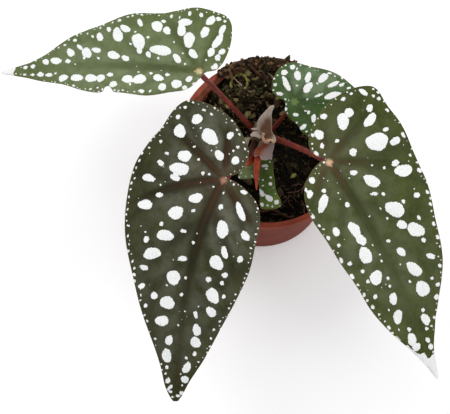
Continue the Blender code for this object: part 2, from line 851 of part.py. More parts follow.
def make_sheath(name, sheath):
    """A pointed sheath of new growth, from the cane out to its tip."""
    base = on_cane(sheath.direction, sheath.height)
    tip = Vector(sheath.tip)
    bend = Vector(sheath.halfway) * 2.0 - (base + tip) * 0.5
    path = bezier(base, bend, tip, SHEATH_STEPS)
    radii = []
    for step in range(SHEATH_STEPS + 1):
        share = step / SHEATH_STEPS
        phase = (SHEATH_SWELL_START + SHEATH_SWELL_SPAN * share) ** SHEATH_SWELL_LEAN
        swell = math.sin(math.pi * phase)
        radii.append(sheath.radius * swell + SHEATH_TIP_RADIUS)
    plane = (base, compass(sheath.direction))
    points, faces = tube(path, radii, SHEATH_SIDES, plane)
    add_object(name, points, faces, "sheath", smooth_angle=50.0)


def lie_on_soil(spots, radius):
    """Lift a line of (x, y) spots so that a strand of this radius lies on the soil."""
    path = []
    for x, y in spots:
        heights = []
        for step_x in (-radius, 0.0, radius):
            for step_y in (-radius, 0.0, radius):
                heights.append(soil_height(x + step_x, y + step_y))
        path.append(Vector((x, y, max(heights) + radius + CLEAR + SOIL_SPARE)))
    return path


def heap_rise(direction):
    """How high the heap's crest stands in a direction."""
    for (one, low), (two, high) in zip(HEAP_CREST, HEAP_CREST[1:]):
        if one <= direction <= two:
            return low + (high - low) * (direction - one) / (two - one)
    return HEAP_EDGE


def make_heap():
    """The bark and soil heaped over the back of the lip."""
    first = HEAP_CREST[0][0]
    last = HEAP_CREST[-1][0]
    top = []
    bottom = []
    for step in range(HEAP_STEPS + 1):
        degrees = first + (last - first) * step / HEAP_STEPS
        end = min(degrees - first, last - degrees)
        share = HEAP_END_WIDTH + (1.0 - HEAP_END_WIDTH) * smooth_step(end / HEAP_TAPER)
        width = (HEAP_RADII[1] - HEAP_RADII[0]) * share
        middle = 0.5 * (HEAP_RADII[0] + HEAP_RADII[1])
        for column in range(HEAP_COLUMNS):
            across = column / (HEAP_COLUMNS - 1)
            spot = compass(degrees) * (middle + width * (across - 0.5))
            swell = math.sin(math.pi * across)
            bump = HEAP_BUMP * noise.noise(spot / HEAP_BUMP_SIZE)
            thickness = HEAP_EDGE + swell * (heap_rise(degrees) + bump)
            low = spot + Vector((0.0, 0.0, POT_HEIGHT + CLEAR))
            bottom.append(low)
            top.append(low + Vector((0.0, 0.0, max(HEAP_EDGE, thickness))))
    triangles = []
    for step in range(HEAP_STEPS):
        for column in range(HEAP_COLUMNS - 1):
            a = step * HEAP_COLUMNS + column
            triangles.append((a, a + 1, a + 1 + HEAP_COLUMNS))
            triangles.append((a, a + 1 + HEAP_COLUMNS, a + HEAP_COLUMNS))
    points, faces = close_sheet(top, bottom, triangles)
    add_object("bark_heap", points, faces, "litter")


def make_litter():
    """The moss strand and the root that lie on the soil."""
    arc = []
    for step in range(MOSS_STEPS + 1):
        turn = compass(MOSS_START + (MOSS_END - MOSS_START) * step / MOSS_STEPS)
        arc.append((MOSS_MIDDLE[0] + MOSS_REACH[0] * turn.x, MOSS_MIDDLE[1] + MOSS_REACH[1] * turn.y))
    path = lie_on_soil(arc, MOSS_RADIUS)
    points, faces = tube(path, [MOSS_RADIUS] * len(path), MOSS_SIDES)
    add_object("moss_strand", points, faces, "moss")

    start = Vector(ROOT_START)
    end = Vector(ROOT_END)
    spots = [start.lerp(end, step / ROOT_STEPS) for step in range(ROOT_STEPS + 1)]
    winding = [(x, y + ROOT_WINDING * math.sin(ROOT_TURNS * x)) for x, y in spots]
    path = lie_on_soil(winding, ROOT_RADIUS)
    radii = [ROOT_RADIUS - ROOT_TAPER * step / ROOT_STEPS for step in range(ROOT_STEPS + 1)]
    points, faces = tube(path, radii, ROOT_SIDES)
    add_object("twig_front", points, faces, "litter")


def main():
    clear_scene()
    make_pot()
    make_soil()
    make_cane()
    leaf_finishes = {
        "blade_left": "leaf_green",
        "blade_front": "leaf_olive",
        "blade_right": "leaf_green",
        "blade_back": "leaf_young",
        "blade_low": "leaf_young",
    }
    for name, blade in BLADES.items():
        make_blade(name, blade, leaf_finishes[name], BLADE_THICKNESS)
        make_stalk(name.replace("blade", "petiole"), STALKS[name], blade)
    for name, paper in PAPERS.items():
        make_blade(name, paper, "paper", PAPER_THICKNESS)
    make_ridge(PAPERS["stipule_back"])
    for name, sheath in SHEATHS.items():
        make_sheath(name, sheath)
    make_litter()
    make_heap()


main()
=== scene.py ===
"""The looks of a potted begonia with white-spotted, lopsided leaves.

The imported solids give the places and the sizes. Each of them is replaced here by a
finer piece of the same form, with its veins, spots, grain and finish. Sizes in the
values below are in millimetres, and the meshes are in metres.
"""

import random
from functools import partialmethod
from math import copysign, cos, exp, hypot, pi, radians, sin, sqrt, tan, tau
from typing import NamedTuple

import bpy
import numpy as np
from bpy.props import FloatProperty, FloatVectorProperty, IntProperty, PointerProperty
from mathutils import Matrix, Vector, noise
from mathutils.geometry import delaunay_2d_cdt


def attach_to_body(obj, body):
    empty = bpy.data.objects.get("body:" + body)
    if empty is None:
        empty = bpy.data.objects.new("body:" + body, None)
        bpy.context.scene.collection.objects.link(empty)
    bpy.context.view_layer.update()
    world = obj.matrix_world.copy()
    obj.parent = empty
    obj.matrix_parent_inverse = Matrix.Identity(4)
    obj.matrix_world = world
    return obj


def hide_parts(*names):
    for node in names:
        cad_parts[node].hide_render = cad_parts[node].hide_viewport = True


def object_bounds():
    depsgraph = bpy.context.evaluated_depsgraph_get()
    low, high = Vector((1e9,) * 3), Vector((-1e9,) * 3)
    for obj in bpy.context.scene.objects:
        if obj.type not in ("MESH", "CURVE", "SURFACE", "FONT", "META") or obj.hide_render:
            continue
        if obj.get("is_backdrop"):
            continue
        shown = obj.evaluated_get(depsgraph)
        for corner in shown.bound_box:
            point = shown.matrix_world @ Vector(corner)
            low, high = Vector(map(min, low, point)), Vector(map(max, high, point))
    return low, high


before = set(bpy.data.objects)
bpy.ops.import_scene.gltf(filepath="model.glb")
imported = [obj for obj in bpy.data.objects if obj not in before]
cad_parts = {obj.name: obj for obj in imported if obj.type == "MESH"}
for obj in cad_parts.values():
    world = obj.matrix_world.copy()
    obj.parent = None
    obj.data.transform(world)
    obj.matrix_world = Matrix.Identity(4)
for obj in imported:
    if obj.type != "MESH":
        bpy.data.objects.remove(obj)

bl_info = {
    "name": "Potted spotted begonia",
    "version": (1, 0, 0),
    "blender": (4, 5, 0),
    "location": "View3D > Sidebar > Begonia",
    "description": "Dresses the solids of a potted spotted begonia",
    "category": "Object",
}

MM = 0.001

# The pot and its lip
POT_HEIGHT = 90
BASE_RADIUS = 42
RIM_RADIUS = 52.5
WALL = 1.3
FLOOR = 2
LIP_WIDTH = 1.6
LIP_HEIGHT = 5
LIP_ROUND = 1.4
FOOT_ROUND = 1.5
DRAIN_CIRCLE = 29
POT_TAPER = 0.0989

# The soil, low at the left and front and heaped up at the back
SOIL_LEVEL = 67
SOIL_BACK_RISE = 21.5
SOIL_BACK_START = 8
SOIL_BACK_DEPTH = 27
SOIL_BACK_HALF_WIDTH = 34
SOIL_MOUND = 3
SOIL_MOUND_RADIUS = 20
SOIL_BUMP = 1.6
SOIL_BUMP_SIZE = 7

# The cane and its rings
CANE_X = -3
CANE_Y = 1.5
CANE_FOOT = 56
CANE_TOP = 113
CANE_DOME = 6
CANE_DOME_SHAPE = ((1.0, 0.0), (0.84, 0.08), (0.55, 0.4), (0.28, 0.8), (0.0, 1.0))
CANE_RADIUS = 4.7
CANE_RING_HEIGHTS = (78.0, 86.0, 93.0, 98.0, 103.0)
CANE_RING_RISE = 0.5
CANE_RING_WIDTH = 1.6
CLEAR = 0.3

# The blades and their stalks
SOLID_THICKNESS = 0.7
RIM_STEP = 0.55
MIDRIB_SOFTNESS = 5
PLEAT_HEIGHT = 0.7
PLEAT_COUNT = 7
PLEAT_LEAN = 0.12
PLEAT_START = 18
PLEAT_LEAF = 120
MIDRIB_FLAT = 6
WAVE_LENGTH = 27
WAVE_REACH = 9
WAVE_SLANT = 0.6
WAVE_PHASES = (0.9, 2.6)
WAVE_FLAT = 8
MIDRIB_FIRST = -45
MIDRIB_SPARE = 8
SMALL_BLADE = 60
STALK_FOOT_RADIUS = 2.3
STALK_RADIUS = 1.75
STALK_BEND_AT = 0.45
STALK_SWELL_FADE = 7

# The papery stipules and the red sheaths
PAPER_THICKNESS = 0.6
RIDGE_RADIUS = 0.55
RIDGE_SPACING = 0.4
SHEATH_TIP_RADIUS = 0.12
SHEATH_SWELL_START = 0.2
SHEATH_SWELL_SPAN = 0.78
SHEATH_SWELL_LEAN = 1.1

# The moss strand, an arc on the soil
MOSS_MIDDLE = (-15.7, 37.0)
MOSS_REACH = (4.9, 5.6)
MOSS_START = 205
MOSS_END = -50
MOSS_RADIUS = 0.9
MOSS_LEAFLETS = 1.6e6

# The root that lies in front of the cane
ROOT_START = (-4.0, -36.0)
ROOT_END = (17.0, -40.0)
ROOT_WINDING = 1.2
ROOT_TURNS = 0.35
ROOT_RADIUS = 1.1
ROOT_TAPER = 0.5

# The bark heaped over the back of the lip: its crest is (direction, rise)
HEAP_CREST = (
    (56.0, 0.4), (60.0, 1.5), (66.0, 0.9), (73.0, 1.6), (80.0, 0.8), (86.0, 1.1),
    (91.5, 2.3), (95.5, 1.0), (99.5, 3.3), (103.0, 1.3), (110.5, 2.5), (114.0, 1.0),
    (119.0, 1.3), (125.0, 0.4),
)
HEAP_RADII = (46.2, 53.3)
HEAP_TAPER = 6
HEAP_END_WIDTH = 0.35
HEAP_EDGE = 0.35
HEAP_BUMP = 0.7
HEAP_BUMP_SIZE = 2.6
HEAP_COLUMNS = 37
HEAP_STEPS = 300

# Bark slivers at the back, each by its ends and its middle, and its greatest radius
SLIVERS = (
    ((-9.5, 47.5, 93.5), (-5.5, 43.0, 92.0), (1.5, 38.5, 87.5), 1.0),
    ((-1.5, 43.5, 91.0), (0.6, 38.5, 89.5), (1.0, 34.5, 85.5), 0.8),
    ((-19.0, 43.5, 92.5), (-15.5, 44.5, 93.2), (-11.0, 44.0, 91.8), 1.1),
)

# The olive flake on the soil at the right
FLAKE_PLACE = (17.0, -14.8)
FLAKE_TURN = 38
FLAKE_SIZE = (4.2, 5.5)
FLAKE_LIFT = 1.8

# The stage, with the camera of the photograph
STAGE_HALF = 3000
STAGE_LEVEL = -0.4
LIGHT_SIZE = 0.8
CAMERA_PLACE = (-24.118, -202.702, 656.056)
CAMERA_TILT = 16


class Blade(NamedTuple):
    """A leaf blade, as the solids have it. Its outline is (along, out to the broad side)."""

    attach: tuple
    length: float
    heading: float
    curl: float
    wave: float
    outline: tuple
    sweep: float = 0.0
    pitch: float = 0.0
    droop: float = 0.0
    roll: float = 0.0
    lift: float = 0.0
    broad_side: int = 1


class Stalk(NamedTuple):
    """A leaf's stalk: where it leaves the cane, how high, and how it bows."""

    direction: float
    height: float
    bow: float
    size: float


class Sheath(NamedTuple):
    """A sheath: where it leaves the cane, its halfway point, its tip, its radius."""

    direction: float
    height: float
    halfway: tuple
    tip: tuple
    radius: float


class Look(NamedTuple):
    """How one blade is coloured, and how many small dots it has.

    Colours are as seen on a screen. A sheen is a patch of painted sheen, paler where the skin
    catches the light: along the midrib, out, its reach and its strength. The shading is the
    strength of the painted shade along the vein troughs.
    """

    light: tuple
    dark: tuple
    vein: tuple
    flush: float
    dots: int
    margin_gap: float
    joint: tuple
    painted_sheens: tuple
    slot: str
    shading: float = 1.0


class Fibre(NamedTuple):
    """A streaked finish: its colours as on a screen, and its depth in millimetres."""

    light: tuple
    dark: tuple
    scale: float
    stretch: float
    roughness: float
    depth: float
    coat: float = 0.0
    flecks: tuple = ()
    # where the painted shade at a stalk's foot fades out, in millimetres
    foot: tuple = ()


class Earth(NamedTuple):
    """A crumbly finish: its colours as on a screen, and its depth in millimetres."""

    light: tuple
    dark: tuple
    scale: float
    roughness: float
    depth: float


class Loose(NamedTuple):
    """One kind of loose bits: how many of them for each crumb, their sizes, and how they lie."""

    kind: str
    slot: str
    finish: str
    share: float
    smallest: float
    largest: float
    tilt: float
    lift: float
    ruffle: float
    ruffle_scale: float
    seed: int


BLADES = {
    "blade_left": Blade(
        attach=(-37.7, 16.9, 152), length=113, heading=172.5, sweep=5.4, pitch=2, droop=24, roll=-4, lift=9,
        curl=3.2, wave=1.3,
        outline=(
            (-3, 0), (-9, 3), (-13, 11), (-14.5, 21), (-13, 31), (-8, 37), (3, 37.5), (16, 35.5), (30, 32.5),
            (45, 29), (58, 24), (70, 18), (84, 10), (98, 4), (113, 0.5), (105, -2.5), (91, -6.5), (77, -10),
            (63, -15), (52, -16), (49.8, -13.2), (47.5, -12.8), (45.2, -15.2), (43, -17), (30, -17.5),
            (14, -15), (5, -10.5), (0, -5),
        ),
    ),
    "blade_front": Blade(
        attach=(-24.6, -45.5, 158), length=118.6, heading=-119.1, sweep=25.2, pitch=2, droop=34, roll=4,
        lift=9, curl=3, wave=1.5,
        outline=(
            (-2, 0), (-6, -4), (-13, -5.5), (-20, -3.5), (-27, 5), (-31, 15), (-31.5, 27), (-28.5, 37),
            (-19, 41), (-7, 42), (4, 43), (13, 44), (26, 41), (42, 35.5), (58, 27.5), (72, 21), (86, 14.5),
            (99, 9), (111, 5.5), (118.5, 1), (116, -2.5), (106, -7), (94, -13), (80, -19), (62, -25),
            (45, -29), (29, -28.5), (14, -26.5), (4, -21), (-0.5, -14), (-1.8, -7),
        ),
    ),
    "blade_right": Blade(
        attach=(28.9, -36.5, 160), length=125.5, heading=-57.4, sweep=-7.6, pitch=2, droop=32, roll=-3,
        lift=9, curl=3, broad_side=-1, wave=1.5,
        outline=(
            (-2.5, 0), (-6.5, -3.5), (-12.5, -3.5), (-18.5, 1), (-23, 8.5), (-26.5, 18), (-27, 28),
            (-24.5, 37), (-19, 43), (-8, 43), (6, 41.5), (20, 39.5), (34, 36.5), (48, 32.5), (62, 28),
            (74, 23), (86, 16.5), (98, 9), (110, 3.5), (125.5, 0), (116, -3.5), (104, -8.5), (91, -14.5),
            (77, -18.5), (61, -20.5), (44, -22.5), (28, -23.5), (14, -22.5), (5, -18), (0.5, -12), (-2, -5.5),
        ),
    ),
    "blade_back": Blade(
        attach=(15.6, 17.4, 108), length=58, heading=-2, sweep=-10, pitch=5, droop=25, lift=7, curl=5,
        broad_side=-1, wave=1,
        outline=(
            (-5, 0), (-8.5, 2.5), (-12, 5.5), (-13, 10), (-12, 15), (-9, 20.5), (-4.5, 24.5), (1, 25),
            (7, 23), (14, 21.5), (22, 19.5), (31, 15), (41, 8.5), (50, 3.5), (58, 0), (50, -5), (41, -11.5),
            (32, -17), (22, -21), (13, -22), (6, -19), (2.5, -14), (-2, -10.5), (-5, -6),
        ),
    ),
    "blade_low": Blade(
        attach=(-3.2, -16, 86.5), length=30, heading=-72, pitch=5, droop=8, lift=6, curl=6, wave=0.5,
        outline=(
            (-6.7, -0.6), (-6.6, 3.1), (-5, 7.4), (-2.4, 11.7), (0.1, 14), (2.2, 13.8), (3.5, 10.2),
            (4.4, 6.2), (6, 4.6), (8.7, 4.2), (12.4, 4.9), (16.5, 6.1), (20, 7.3), (23.1, 7.8), (24.3, 6.1),
            (25.4, 2.8), (26.2, -0.6), (25.7, -3.4), (23.8, -4.7), (20.3, -4.7), (16.7, -4.2), (12.4, -4.8),
            (7.5, -5.9), (2.5, -6.9), (-2.4, -8.1), (-5.4, -8.3), (-6.9, -5),
        ),
    ),
}

STALKS = {
    "blade_left": Stalk(156.0, 98.0, -2.5, 1.0),
    "blade_front": Stalk(230.0, 93.0, 2.0, 1.05),
    "blade_right": Stalk(346.5, 97.0, 9.1, 1.05),
    "blade_back": Stalk(41.0, 86.0, 1.5, 0.8),
    "blade_low": Stalk(264.0, 77.0, 3.2, 0.7),
}

# The stipules are sheets shaped as small blades are
PAPERS = {
    "stipule_back": Blade(
        attach=(0.8, -6.6, 113.1), length=22, heading=97, pitch=2, droop=-70, roll=10, curl=35, broad_side=-1,
        wave=0.4,
        outline=(
            (19.4, -4.3), (19.5, -2.7), (16.8, -0.2), (13.9, 2.4), (11, 4.9), (8.7, 5.9), (6.8, 6.5),
            (6.7, 8), (6.4, 10.1), (5.7, 8.5), (5.3, 6.2), (4.1, 4.7), (2.4, 3.3), (0.5, 3.3), (-1.7, 2.8),
            (-2.3, 2.2), (-1.6, 0.7), (-1.1, -1), (-2.5, -2), (-3.4, -2.7), (-2.2, -3.7), (-0.3, -3.7),
            (1.8, -2.9), (4.1, -2.1), (7.5, -2.5), (10.7, -2.8), (13, -2.8), (15.7, -3.4), (18.3, -4.5),
        ),
    ),
    "stipule_tip": Blade(
        attach=(-4.5, -2.5, 110), length=8, heading=190, droop=14, curl=30, wave=0.3,
        outline=(
            (5.3, 0.2), (3.8, 1.3), (2.2, 1.5), (0.6, 1.8), (-0.9, 1.1), (-1.6, -0.4), (-1.2, -2.3),
            (0.2, -3), (1.8, -2.1), (3.4, -1.4), (4.8, -1.2),
        ),
    ),
    "stipule_front": Blade(
        attach=(-2, -7, 101.5), length=12, heading=262, pitch=-8, droop=10, curl=25, wave=0.4,
        outline=(
            (-2.6, 2), (-1.5, -0.4), (-1.9, -2.9), (-2.1, -5.8), (0.5, -6.1), (3.2, -5.7), (5.7, -5.9),
            (7.3, -4.5), (8.3, -2.1), (8.1, 0.4), (6.5, 1.2), (6, 2.4), (7, 4), (5.6, 5), (3.1, 4.4),
            (1.1, 3.2), (-0.8, 2.8),
        ),
    ),
    "stipule_side": Blade(
        attach=(-10.9, -6, 97.5), length=6, heading=105, curl=30, wave=0.2,
        outline=(
            (5.6, -0.6), (5.5, 1.8), (5, 3.4), (4.2, 3.4), (3.6, 2.2), (2, 1.1), (0.5, 0.1), (0.8, -0.9),
            (3.4, -0.9),
        ),
    ),
}

# The rolled edge of the back stipule, on its flat form
RIDGE = (
    (3.4, 2.5), (1.8, 3.0), (0.2, 3.2), (-1.5, 2.8), (-2.3, 1.9), (-1.9, 0.7),
    (-1.5, -0.6), (-2.1, -1.7), (-3.1, -2.5), (-2.4, -3.3),
)

SHEATHS = {
    "sheath_short": Sheath(240.0, 85.5, (-9.2, -13.6, 93.6), (-12.7, -17.3, 96.0), 1.8),
    "sheath_long": Sheath(268.0, 90.5, (-5.7, -17.6, 97.4), (-6.0, -32.8, 98.5), 1.85),
}

# The spots of each blade: along the midrib, out to the broad side, length, width,
# and how far the spot's long axis is turned from the midrib to the broad side
SPOTS = {
    "blade_left": (
        (6.5, -10.5, 3.6, 3, 10), (2, -7.3, 2.2, 1.8, -30), (5, -5, 4.7, 2.9, -46), (11.2, -9.3, 6.4, 5, -35),
        (18.4, -12.3, 4.9, 4.2, -50), (21.3, -6.5, 6.2, 4.6, 15), (16.8, -4, 2.8, 2.4), (25.7, -4, 2.2, 1.8),
        (29.5, -15, 3.8, 2.6), (31.5, -7.9, 7.4, 6, -10), (37.8, -8.2, 6.4, 5.6), (36, -11.5, 2.4, 1.6, 90),
        (32.5, -3.5, 1.5, 1.3), (45.1, -12, 4.8, 4, -20), (47.8, -5.7, 3.8, 3, 15), (52.8, -7.6, 5.4, 4.6),
        (58.3, -7.4, 6.8, 4.8, 12), (66.4, -7.2, 7, 4.8), (74, -7.1, 5.8, 4.6), (54, -13.3, 1.6, 1.4),
        (60.5, -14.2, 1.5, 1.1), (67, -12.5, 2.4, 1.3, 35), (79, -3.8, 2.2, 1.4), (83, -4.3, 5, 2.5, 5),
        (88.2, -3.5, 4.8, 2.8, 15), (93, -3.3, 3.6, 1.7, 10), (97.6, -2.9, 3, 1.6, 5), (39, -16, 1.5, 1.2),
        (33, -16, 1.1, 1), (-4.3, 0.4, 1.4, 1, -40), (-7.6, 4.2, 4.4, 3.2, -40), (-2.5, 7.2, 2, 1.2, 90),
        (-8.5, 9.2, 4, 3.2, -70), (-10.3, 12.8, 4.6, 3.2, -55), (-4.6, 12, 6, 4, -75),
        (-7.2, 19, 11, 4.2, -68), (-8.8, 26, 8, 3.4, -80), (0.3, 23.2, 7.6, 4.4, -80),
        (-1.9, 31.2, 7.4, 4.4, -70), (-5.8, 33.4, 3.4, 3.2), (-9.5, 32.2, 2.4, 2, 90),
        (4.8, 9.9, 6.4, 4.1, 45), (8.4, 3.3, 1.6, 1.5), (12.8, 5.9, 6.2, 3.8, 50), (8, 17.8, 9.4, 6, 78),
        (12.6, 23.5, 8, 4.8, 88), (11.3, 27.8, 7.6, 4.4, -12), (9.5, 33, 2.8, 2.3, 80),
        (3.5, 33.1, 3.6, 2.2, 90), (15.6, 15.3, 2, 1.3, 70), (22, 9.8, 12.2, 5.6, 8), (22.8, 5.2, 2, 1.3, 80),
        (28.4, 7.2, 4.2, 2.8, 65), (20.2, 22, 5.6, 4, 60), (25.7, 24.4, 8.4, 5.6, 65),
        (22.7, 28, 3.2, 2.4, 30), (19, 31.6, 3, 1.8, 80), (14.5, 30.5, 2, 1.2, 90), (33.4, 9.2, 4.2, 3, 70),
        (34.4, 14.3, 9.6, 7, 58), (38.7, 13, 2.2, 1.4, 60), (29.6, 16.8, 2, 1.8), (34.9, 25.6, 5.2, 2.8, 65),
        (36.7, 19.8, 1.6, 1.4), (40.6, 4.6, 5.4, 3, 28), (47.4, 6.3, 7.6, 4.6, 25), (46, 17.8, 8.4, 5.6, 65),
        (42.2, 21.3, 6, 4, 25), (51.3, 21.3, 4, 2.6, 55), (45.8, 26.2, 2.6, 2.1), (49.7, 25.5, 2, 1.4, 80),
        (56, 17.1, 6.4, 3.6, 65), (60.3, 17.8, 2.4, 1.6, 70), (55.5, 4.4, 2.3, 1.6, 40),
        (57.2, 9.3, 5.6, 3.2, 20), (62.6, 8, 7.6, 5, 50), (63.6, 5.1, 2.4, 2, 80), (66.8, 11.4, 4.6, 2.4, 45),
        (71.7, 8.4, 5.9, 3.8, 50), (72.8, 3.4, 4, 2.8, 25), (79.8, 4, 6.8, 4.2, 15),
        (85.8, 3.8, 4.5, 3.6, 40), (93.5, 1.9, 3.8, 2.6, 30), (98, 1.7, 3.4, 2.4, 20),
        (68.5, 1.4, 1.6, 1, 40), (69.7, 15.2, 2.6, 2), (75, 12.6, 2.2, 1.5), (41.5, 28.3, 1.7, 1.2),
    ),
    "blade_front": (
        (0.7, -12, 4.3, 2.6, 80), (12, -15, 12.5, 3.6, -40), (24, -22, 6.5, 4.3, -50), (25, -10, 10, 6, -25),
        (14, -5, 3.6, 2.7), (38, -23, 4, 3.4), (36.5, -14.5, 7.8, 3.3, -30), (43, -12, 8.3, 6.6, -35),
        (48.5, -17.5, 3.4, 3.2), (52.5, -10, 3.3, 3.1), (53, -17, 2.6, 2.4), (60.5, -13.5, 8.4, 6.4, -40),
        (60, -19, 2.6, 2.4), (69, -14, 6.2, 4.6, -40), (71.5, -6.5, 5, 2.3, -20), (79.5, -8, 6.6, 4.4, -10),
        (86, -8, 6.2, 5.2, -20), (92, -8, 2.7, 2.2), (99.5, -4.5, 6.6, 4, 20), (106, -4, 4.5, 4.2),
        (94.5, -4, 1.8, 1.7), (106.9, 4.6, 3.4, 2.8, 15), (110.2, 3.1, 2.6, 2.6), (111.4, 4.2, 2.4, 1.8),
        (113, 2.9, 1.9, 2.4), (113.5, -2.7, 2.7, 2.6, 40), (115.2, -0.8, 1.8, 2.9), (115.9, 1.8, 1.2, 2.4),
        (109.2, -2.8, 1.4, 1.1), (78.5, -16.5, 1.8, 1.7), (-12, 0, 4.6, 4.4), (-19, 2.5, 2.2, 2),
        (-16, 3.5, 1.6, 1.5), (-22.5, 9, 4.4, 3.6), (-10, 8.5, 5.8, 4.8, -50), (-16, 17.5, 10.5, 7.2, -65),
        (-21, 28, 6.3, 5.4), (-11, 32.5, 7.6, 6, -60), (-0.5, 23.5, 7.2, 6, 80), (6, 22.5, 10, 5.8, 80),
        (10, 22.5, 5.2, 3.6, 90), (15, 8.5, 7.2, 5, 50), (25, 15, 7.9, 6.2, 70), (36.5, 16.5, 8.6, 5.2, 80),
        (46, 20.5, 9, 5.4, 65), (26, 31, 7.6, 4.6, 75), (15, 34.5, 7, 3.3, 88), (7.5, 32, 4.9, 2.4, -75),
        (20, 26, 4, 2.6, 75), (55, 7.5, 7.4, 6.8), (67.5, 8.5, 7.6, 6.4, 90), (76.5, 10, 7, 5.2, 80),
        (45, 5, 5.4, 3, 75), (53, 23, 4.7, 2.8, 90), (61.5, 22.5, 3.8, 2.8, 60), (65, 15.5, 3.8, 3.6),
        (70, 19, 2.2, 2), (40.5, 25, 3.2, 3), (32, 20, 2.4, 2.2), (32, 8.5, 3.8, 2, 80), (21, 7, 3, 1.8, 50),
        (86, 5.5, 5.4, 4, 20), (94, 6, 7.8, 4.8, -15), (100, 5.5, 2.4, 2), (62.5, 2, 2.2, 2), (36, 2, 2, 1.8),
        (54, 1.5, 1.8, 1.6), (78, 1.5, 1.4, 1.3), (2.5, 11, 2.4, 2), (1.5, 8, 1.6, 1.5),
        (-2.5, 16.5, 1.8, 1.7), (-17, 37, 3, 2.4), (-23.5, 36.5, 2.2, 2), (-27.5, 27.5, 2.6, 1.6, 80),
        (-27.5, 23, 2.4, 1.6, 80), (-7.5, 22, 2.2, 1.4, 60), (2.5, 32, 2.6, 1.6, 80), (-1, 38, 2.4, 1.8),
        (6.5, -3, 2, 1.2), (6, 3, 1.4, 1.2),
    ),
    "blade_right": (
        (-7, -2.9, 3.6, 2.8), (3.7, -12.6, 4.1, 3.5, -40), (9.7, -17.8, 4.8, 3.6, -40),
        (7, -18.2, 3.4, 1.6, -20), (17.4, -14.6, 11, 4.4, -48), (11.9, -10.7, 2.8, 2.5),
        (20.3, -22.4, 5, 1.8), (26.5, -22, 2, 1.6), (34.5, -21.6, 3, 2), (33.6, -16.4, 5, 4, -15),
        (40.3, -18.7, 2.4, 2.2), (47.7, -21, 3.6, 2), (51.2, -17.8, 3, 2.4, 90), (57.5, -20, 3.4, 2.4),
        (57.7, -13.8, 2.3, 2.1), (63.5, -13.8, 2.4, 2.2, 90), (72, -13.9, 2.8, 2.5, 90),
        (68.5, -18.7, 2.8, 2), (76.5, -17, 3, 2), (81.5, -15.5, 1.6, 1.5), (89.5, -13.8, 3, 1.8),
        (96.5, -12, 5, 1.6, 15), (37, -7.5, 8.6, 5.6), (42.8, -7.1, 7, 5, 10), (46, -7.3, 3, 1.4, -20),
        (51.1, -8.8, 9.2, 6.6, -15), (63.7, -9.1, 8.2, 6.2, -43), (77.2, -5.7, 6.4, 4.4, -25),
        (86.6, -7.3, 7.4, 4.8, -30), (95, -4.5, 2.6, 2.4), (100.2, -5.3, 7.2, 4.6, -10),
        (104.9, -4.6, 4.9, 4.6, 40), (102.7, -8.9, 3, 2, 20), (24.1, -4.2, 3.2, 2.8), (48.2, -3, 1.3, 1.2),
        (54, -2, 1.3, 1.2), (57.4, -2.8, 1.6, 1.5), (66.7, -3.7, 2, 1.9), (70.6, -4.6, 1.8, 1.7),
        (81.5, -10, 1.7, 1.2), (92.7, -9.6, 1.5, 1.1), (-9, 2.2, 3.4, 2.6, -30), (-15, 4.4, 6.2, 4.8, -15),
        (-16.5, 1.5, 2.6, 2.4), (-22, 12, 3.8, 3.4, 90), (-6.7, 9.8, 2.8, 2.2, 90),
        (-13.6, 18.2, 9.6, 6, -35), (-15.8, 23.4, 6, 4.6, -75), (2.9, 13.1, 4.2, 4, 90),
        (11.8, 7.3, 4.4, 2.8, 60), (20.1, 12.8, 8.8, 6, 25), (26.2, 10.4, 4.6, 2, 65), (28.6, 14.2, 2.3, 2),
        (34, 9.3, 1.5, 1.4), (39.9, 10, 1.6, 1.5), (37.7, 15.4, 10.6, 7, 40), (36.4, 21, 2.6, 2),
        (46, 14.8, 5.8, 4.2, 35), (51.3, 19.8, 9.4, 6.6, 50), (57.5, 21, 2.8, 2.6, 90), (46.8, 23.8, 2.8, 2),
        (50, 5, 2.4, 2, 60), (57.7, 8.3, 5.2, 4, 20), (63, 5, 1.2, 1.1), (72.9, 5.7, 1.8, 1.7),
        (68.2, 10.3, 8.8, 5.8, 25), (78.9, 10, 8, 7, 15), (93.9, 5.3, 6.4, 4.6, 15), (89, 6, 2.4, 2.2),
        (98.5, 4, 2.2, 2), (104.2, 2.3, 3.4, 2.6), (108, 2.4, 3.4, 3), (86, 15, 3.4, 3),
        (75.9, 16.2, 1.9, 1.8), (80.2, 17.8, 2.8, 2.5, 90), (65.9, 20.4, 4.6, 3, 45), (71.9, 22.3, 2.4, 2),
        (36.8, 28.5, 3.6, 3, 70), (4.9, 26.3, 12.2, 8.6, 75), (23.3, 29.8, 9.4, 6.4, 80),
        (18.3, 28.2, 4.4, 3.3, 75), (17.5, 22, 2, 1.8, 90), (-6.7, 30.4, 9.2, 5, -70),
        (-12.2, 34, 4.4, 3.7, -60), (2.1, 33.8, 3.4, 2.4, 90), (9.4, 34, 6, 3.8, 85), (8.7, 39.3, 4, 2),
        (-21, 36, 5.6, 3, 15), (-16.6, 39.3, 2, 1.9), (-14.2, 41.2, 2.5, 2.2, 90), (-6.7, 41.2, 3, 1.8),
        (-24, 30.5, 2, 1.7), (-24, 25.5, 3, 2.5, 90), (18.4, 37.3, 1.9, 1.7), (27, 37, 3, 2.6),
        (38, 34, 3, 1.8), (43.7, 32.5, 2.3, 2.1), (52.7, 29.5, 2.6, 2), (59.3, 28, 2.6, 2.2),
    ),
    "blade_back": (
        (1.2, -8, 4, 2.4, -10), (-4.6, -4.6, 2.6, 2.2, 90), (-4.5, -1.5, 2, 1.2, 90), (6, -15.4, 5, 3.2, 40),
        (8.3, -18.2, 2.2, 1.2, 30), (12, -9.8, 5.4, 3.2, -85), (8.7, -6.3, 2.6, 2.3, 90), (7, -5.5, 1.9, 1.2),
        (7.5, 1.5, 2.4, 1.2, 60), (13.8, 4.7, 6.4, 1.8, 30), (21.6, 5.7, 10, 4, 25),
        (21.2, 12.3, 7.2, 2.8, 38), (25.8, 13, 4, 2.2, 45), (30, 12, 4, 1.6, 35), (7.5, 9, 7.6, 4.6, 60),
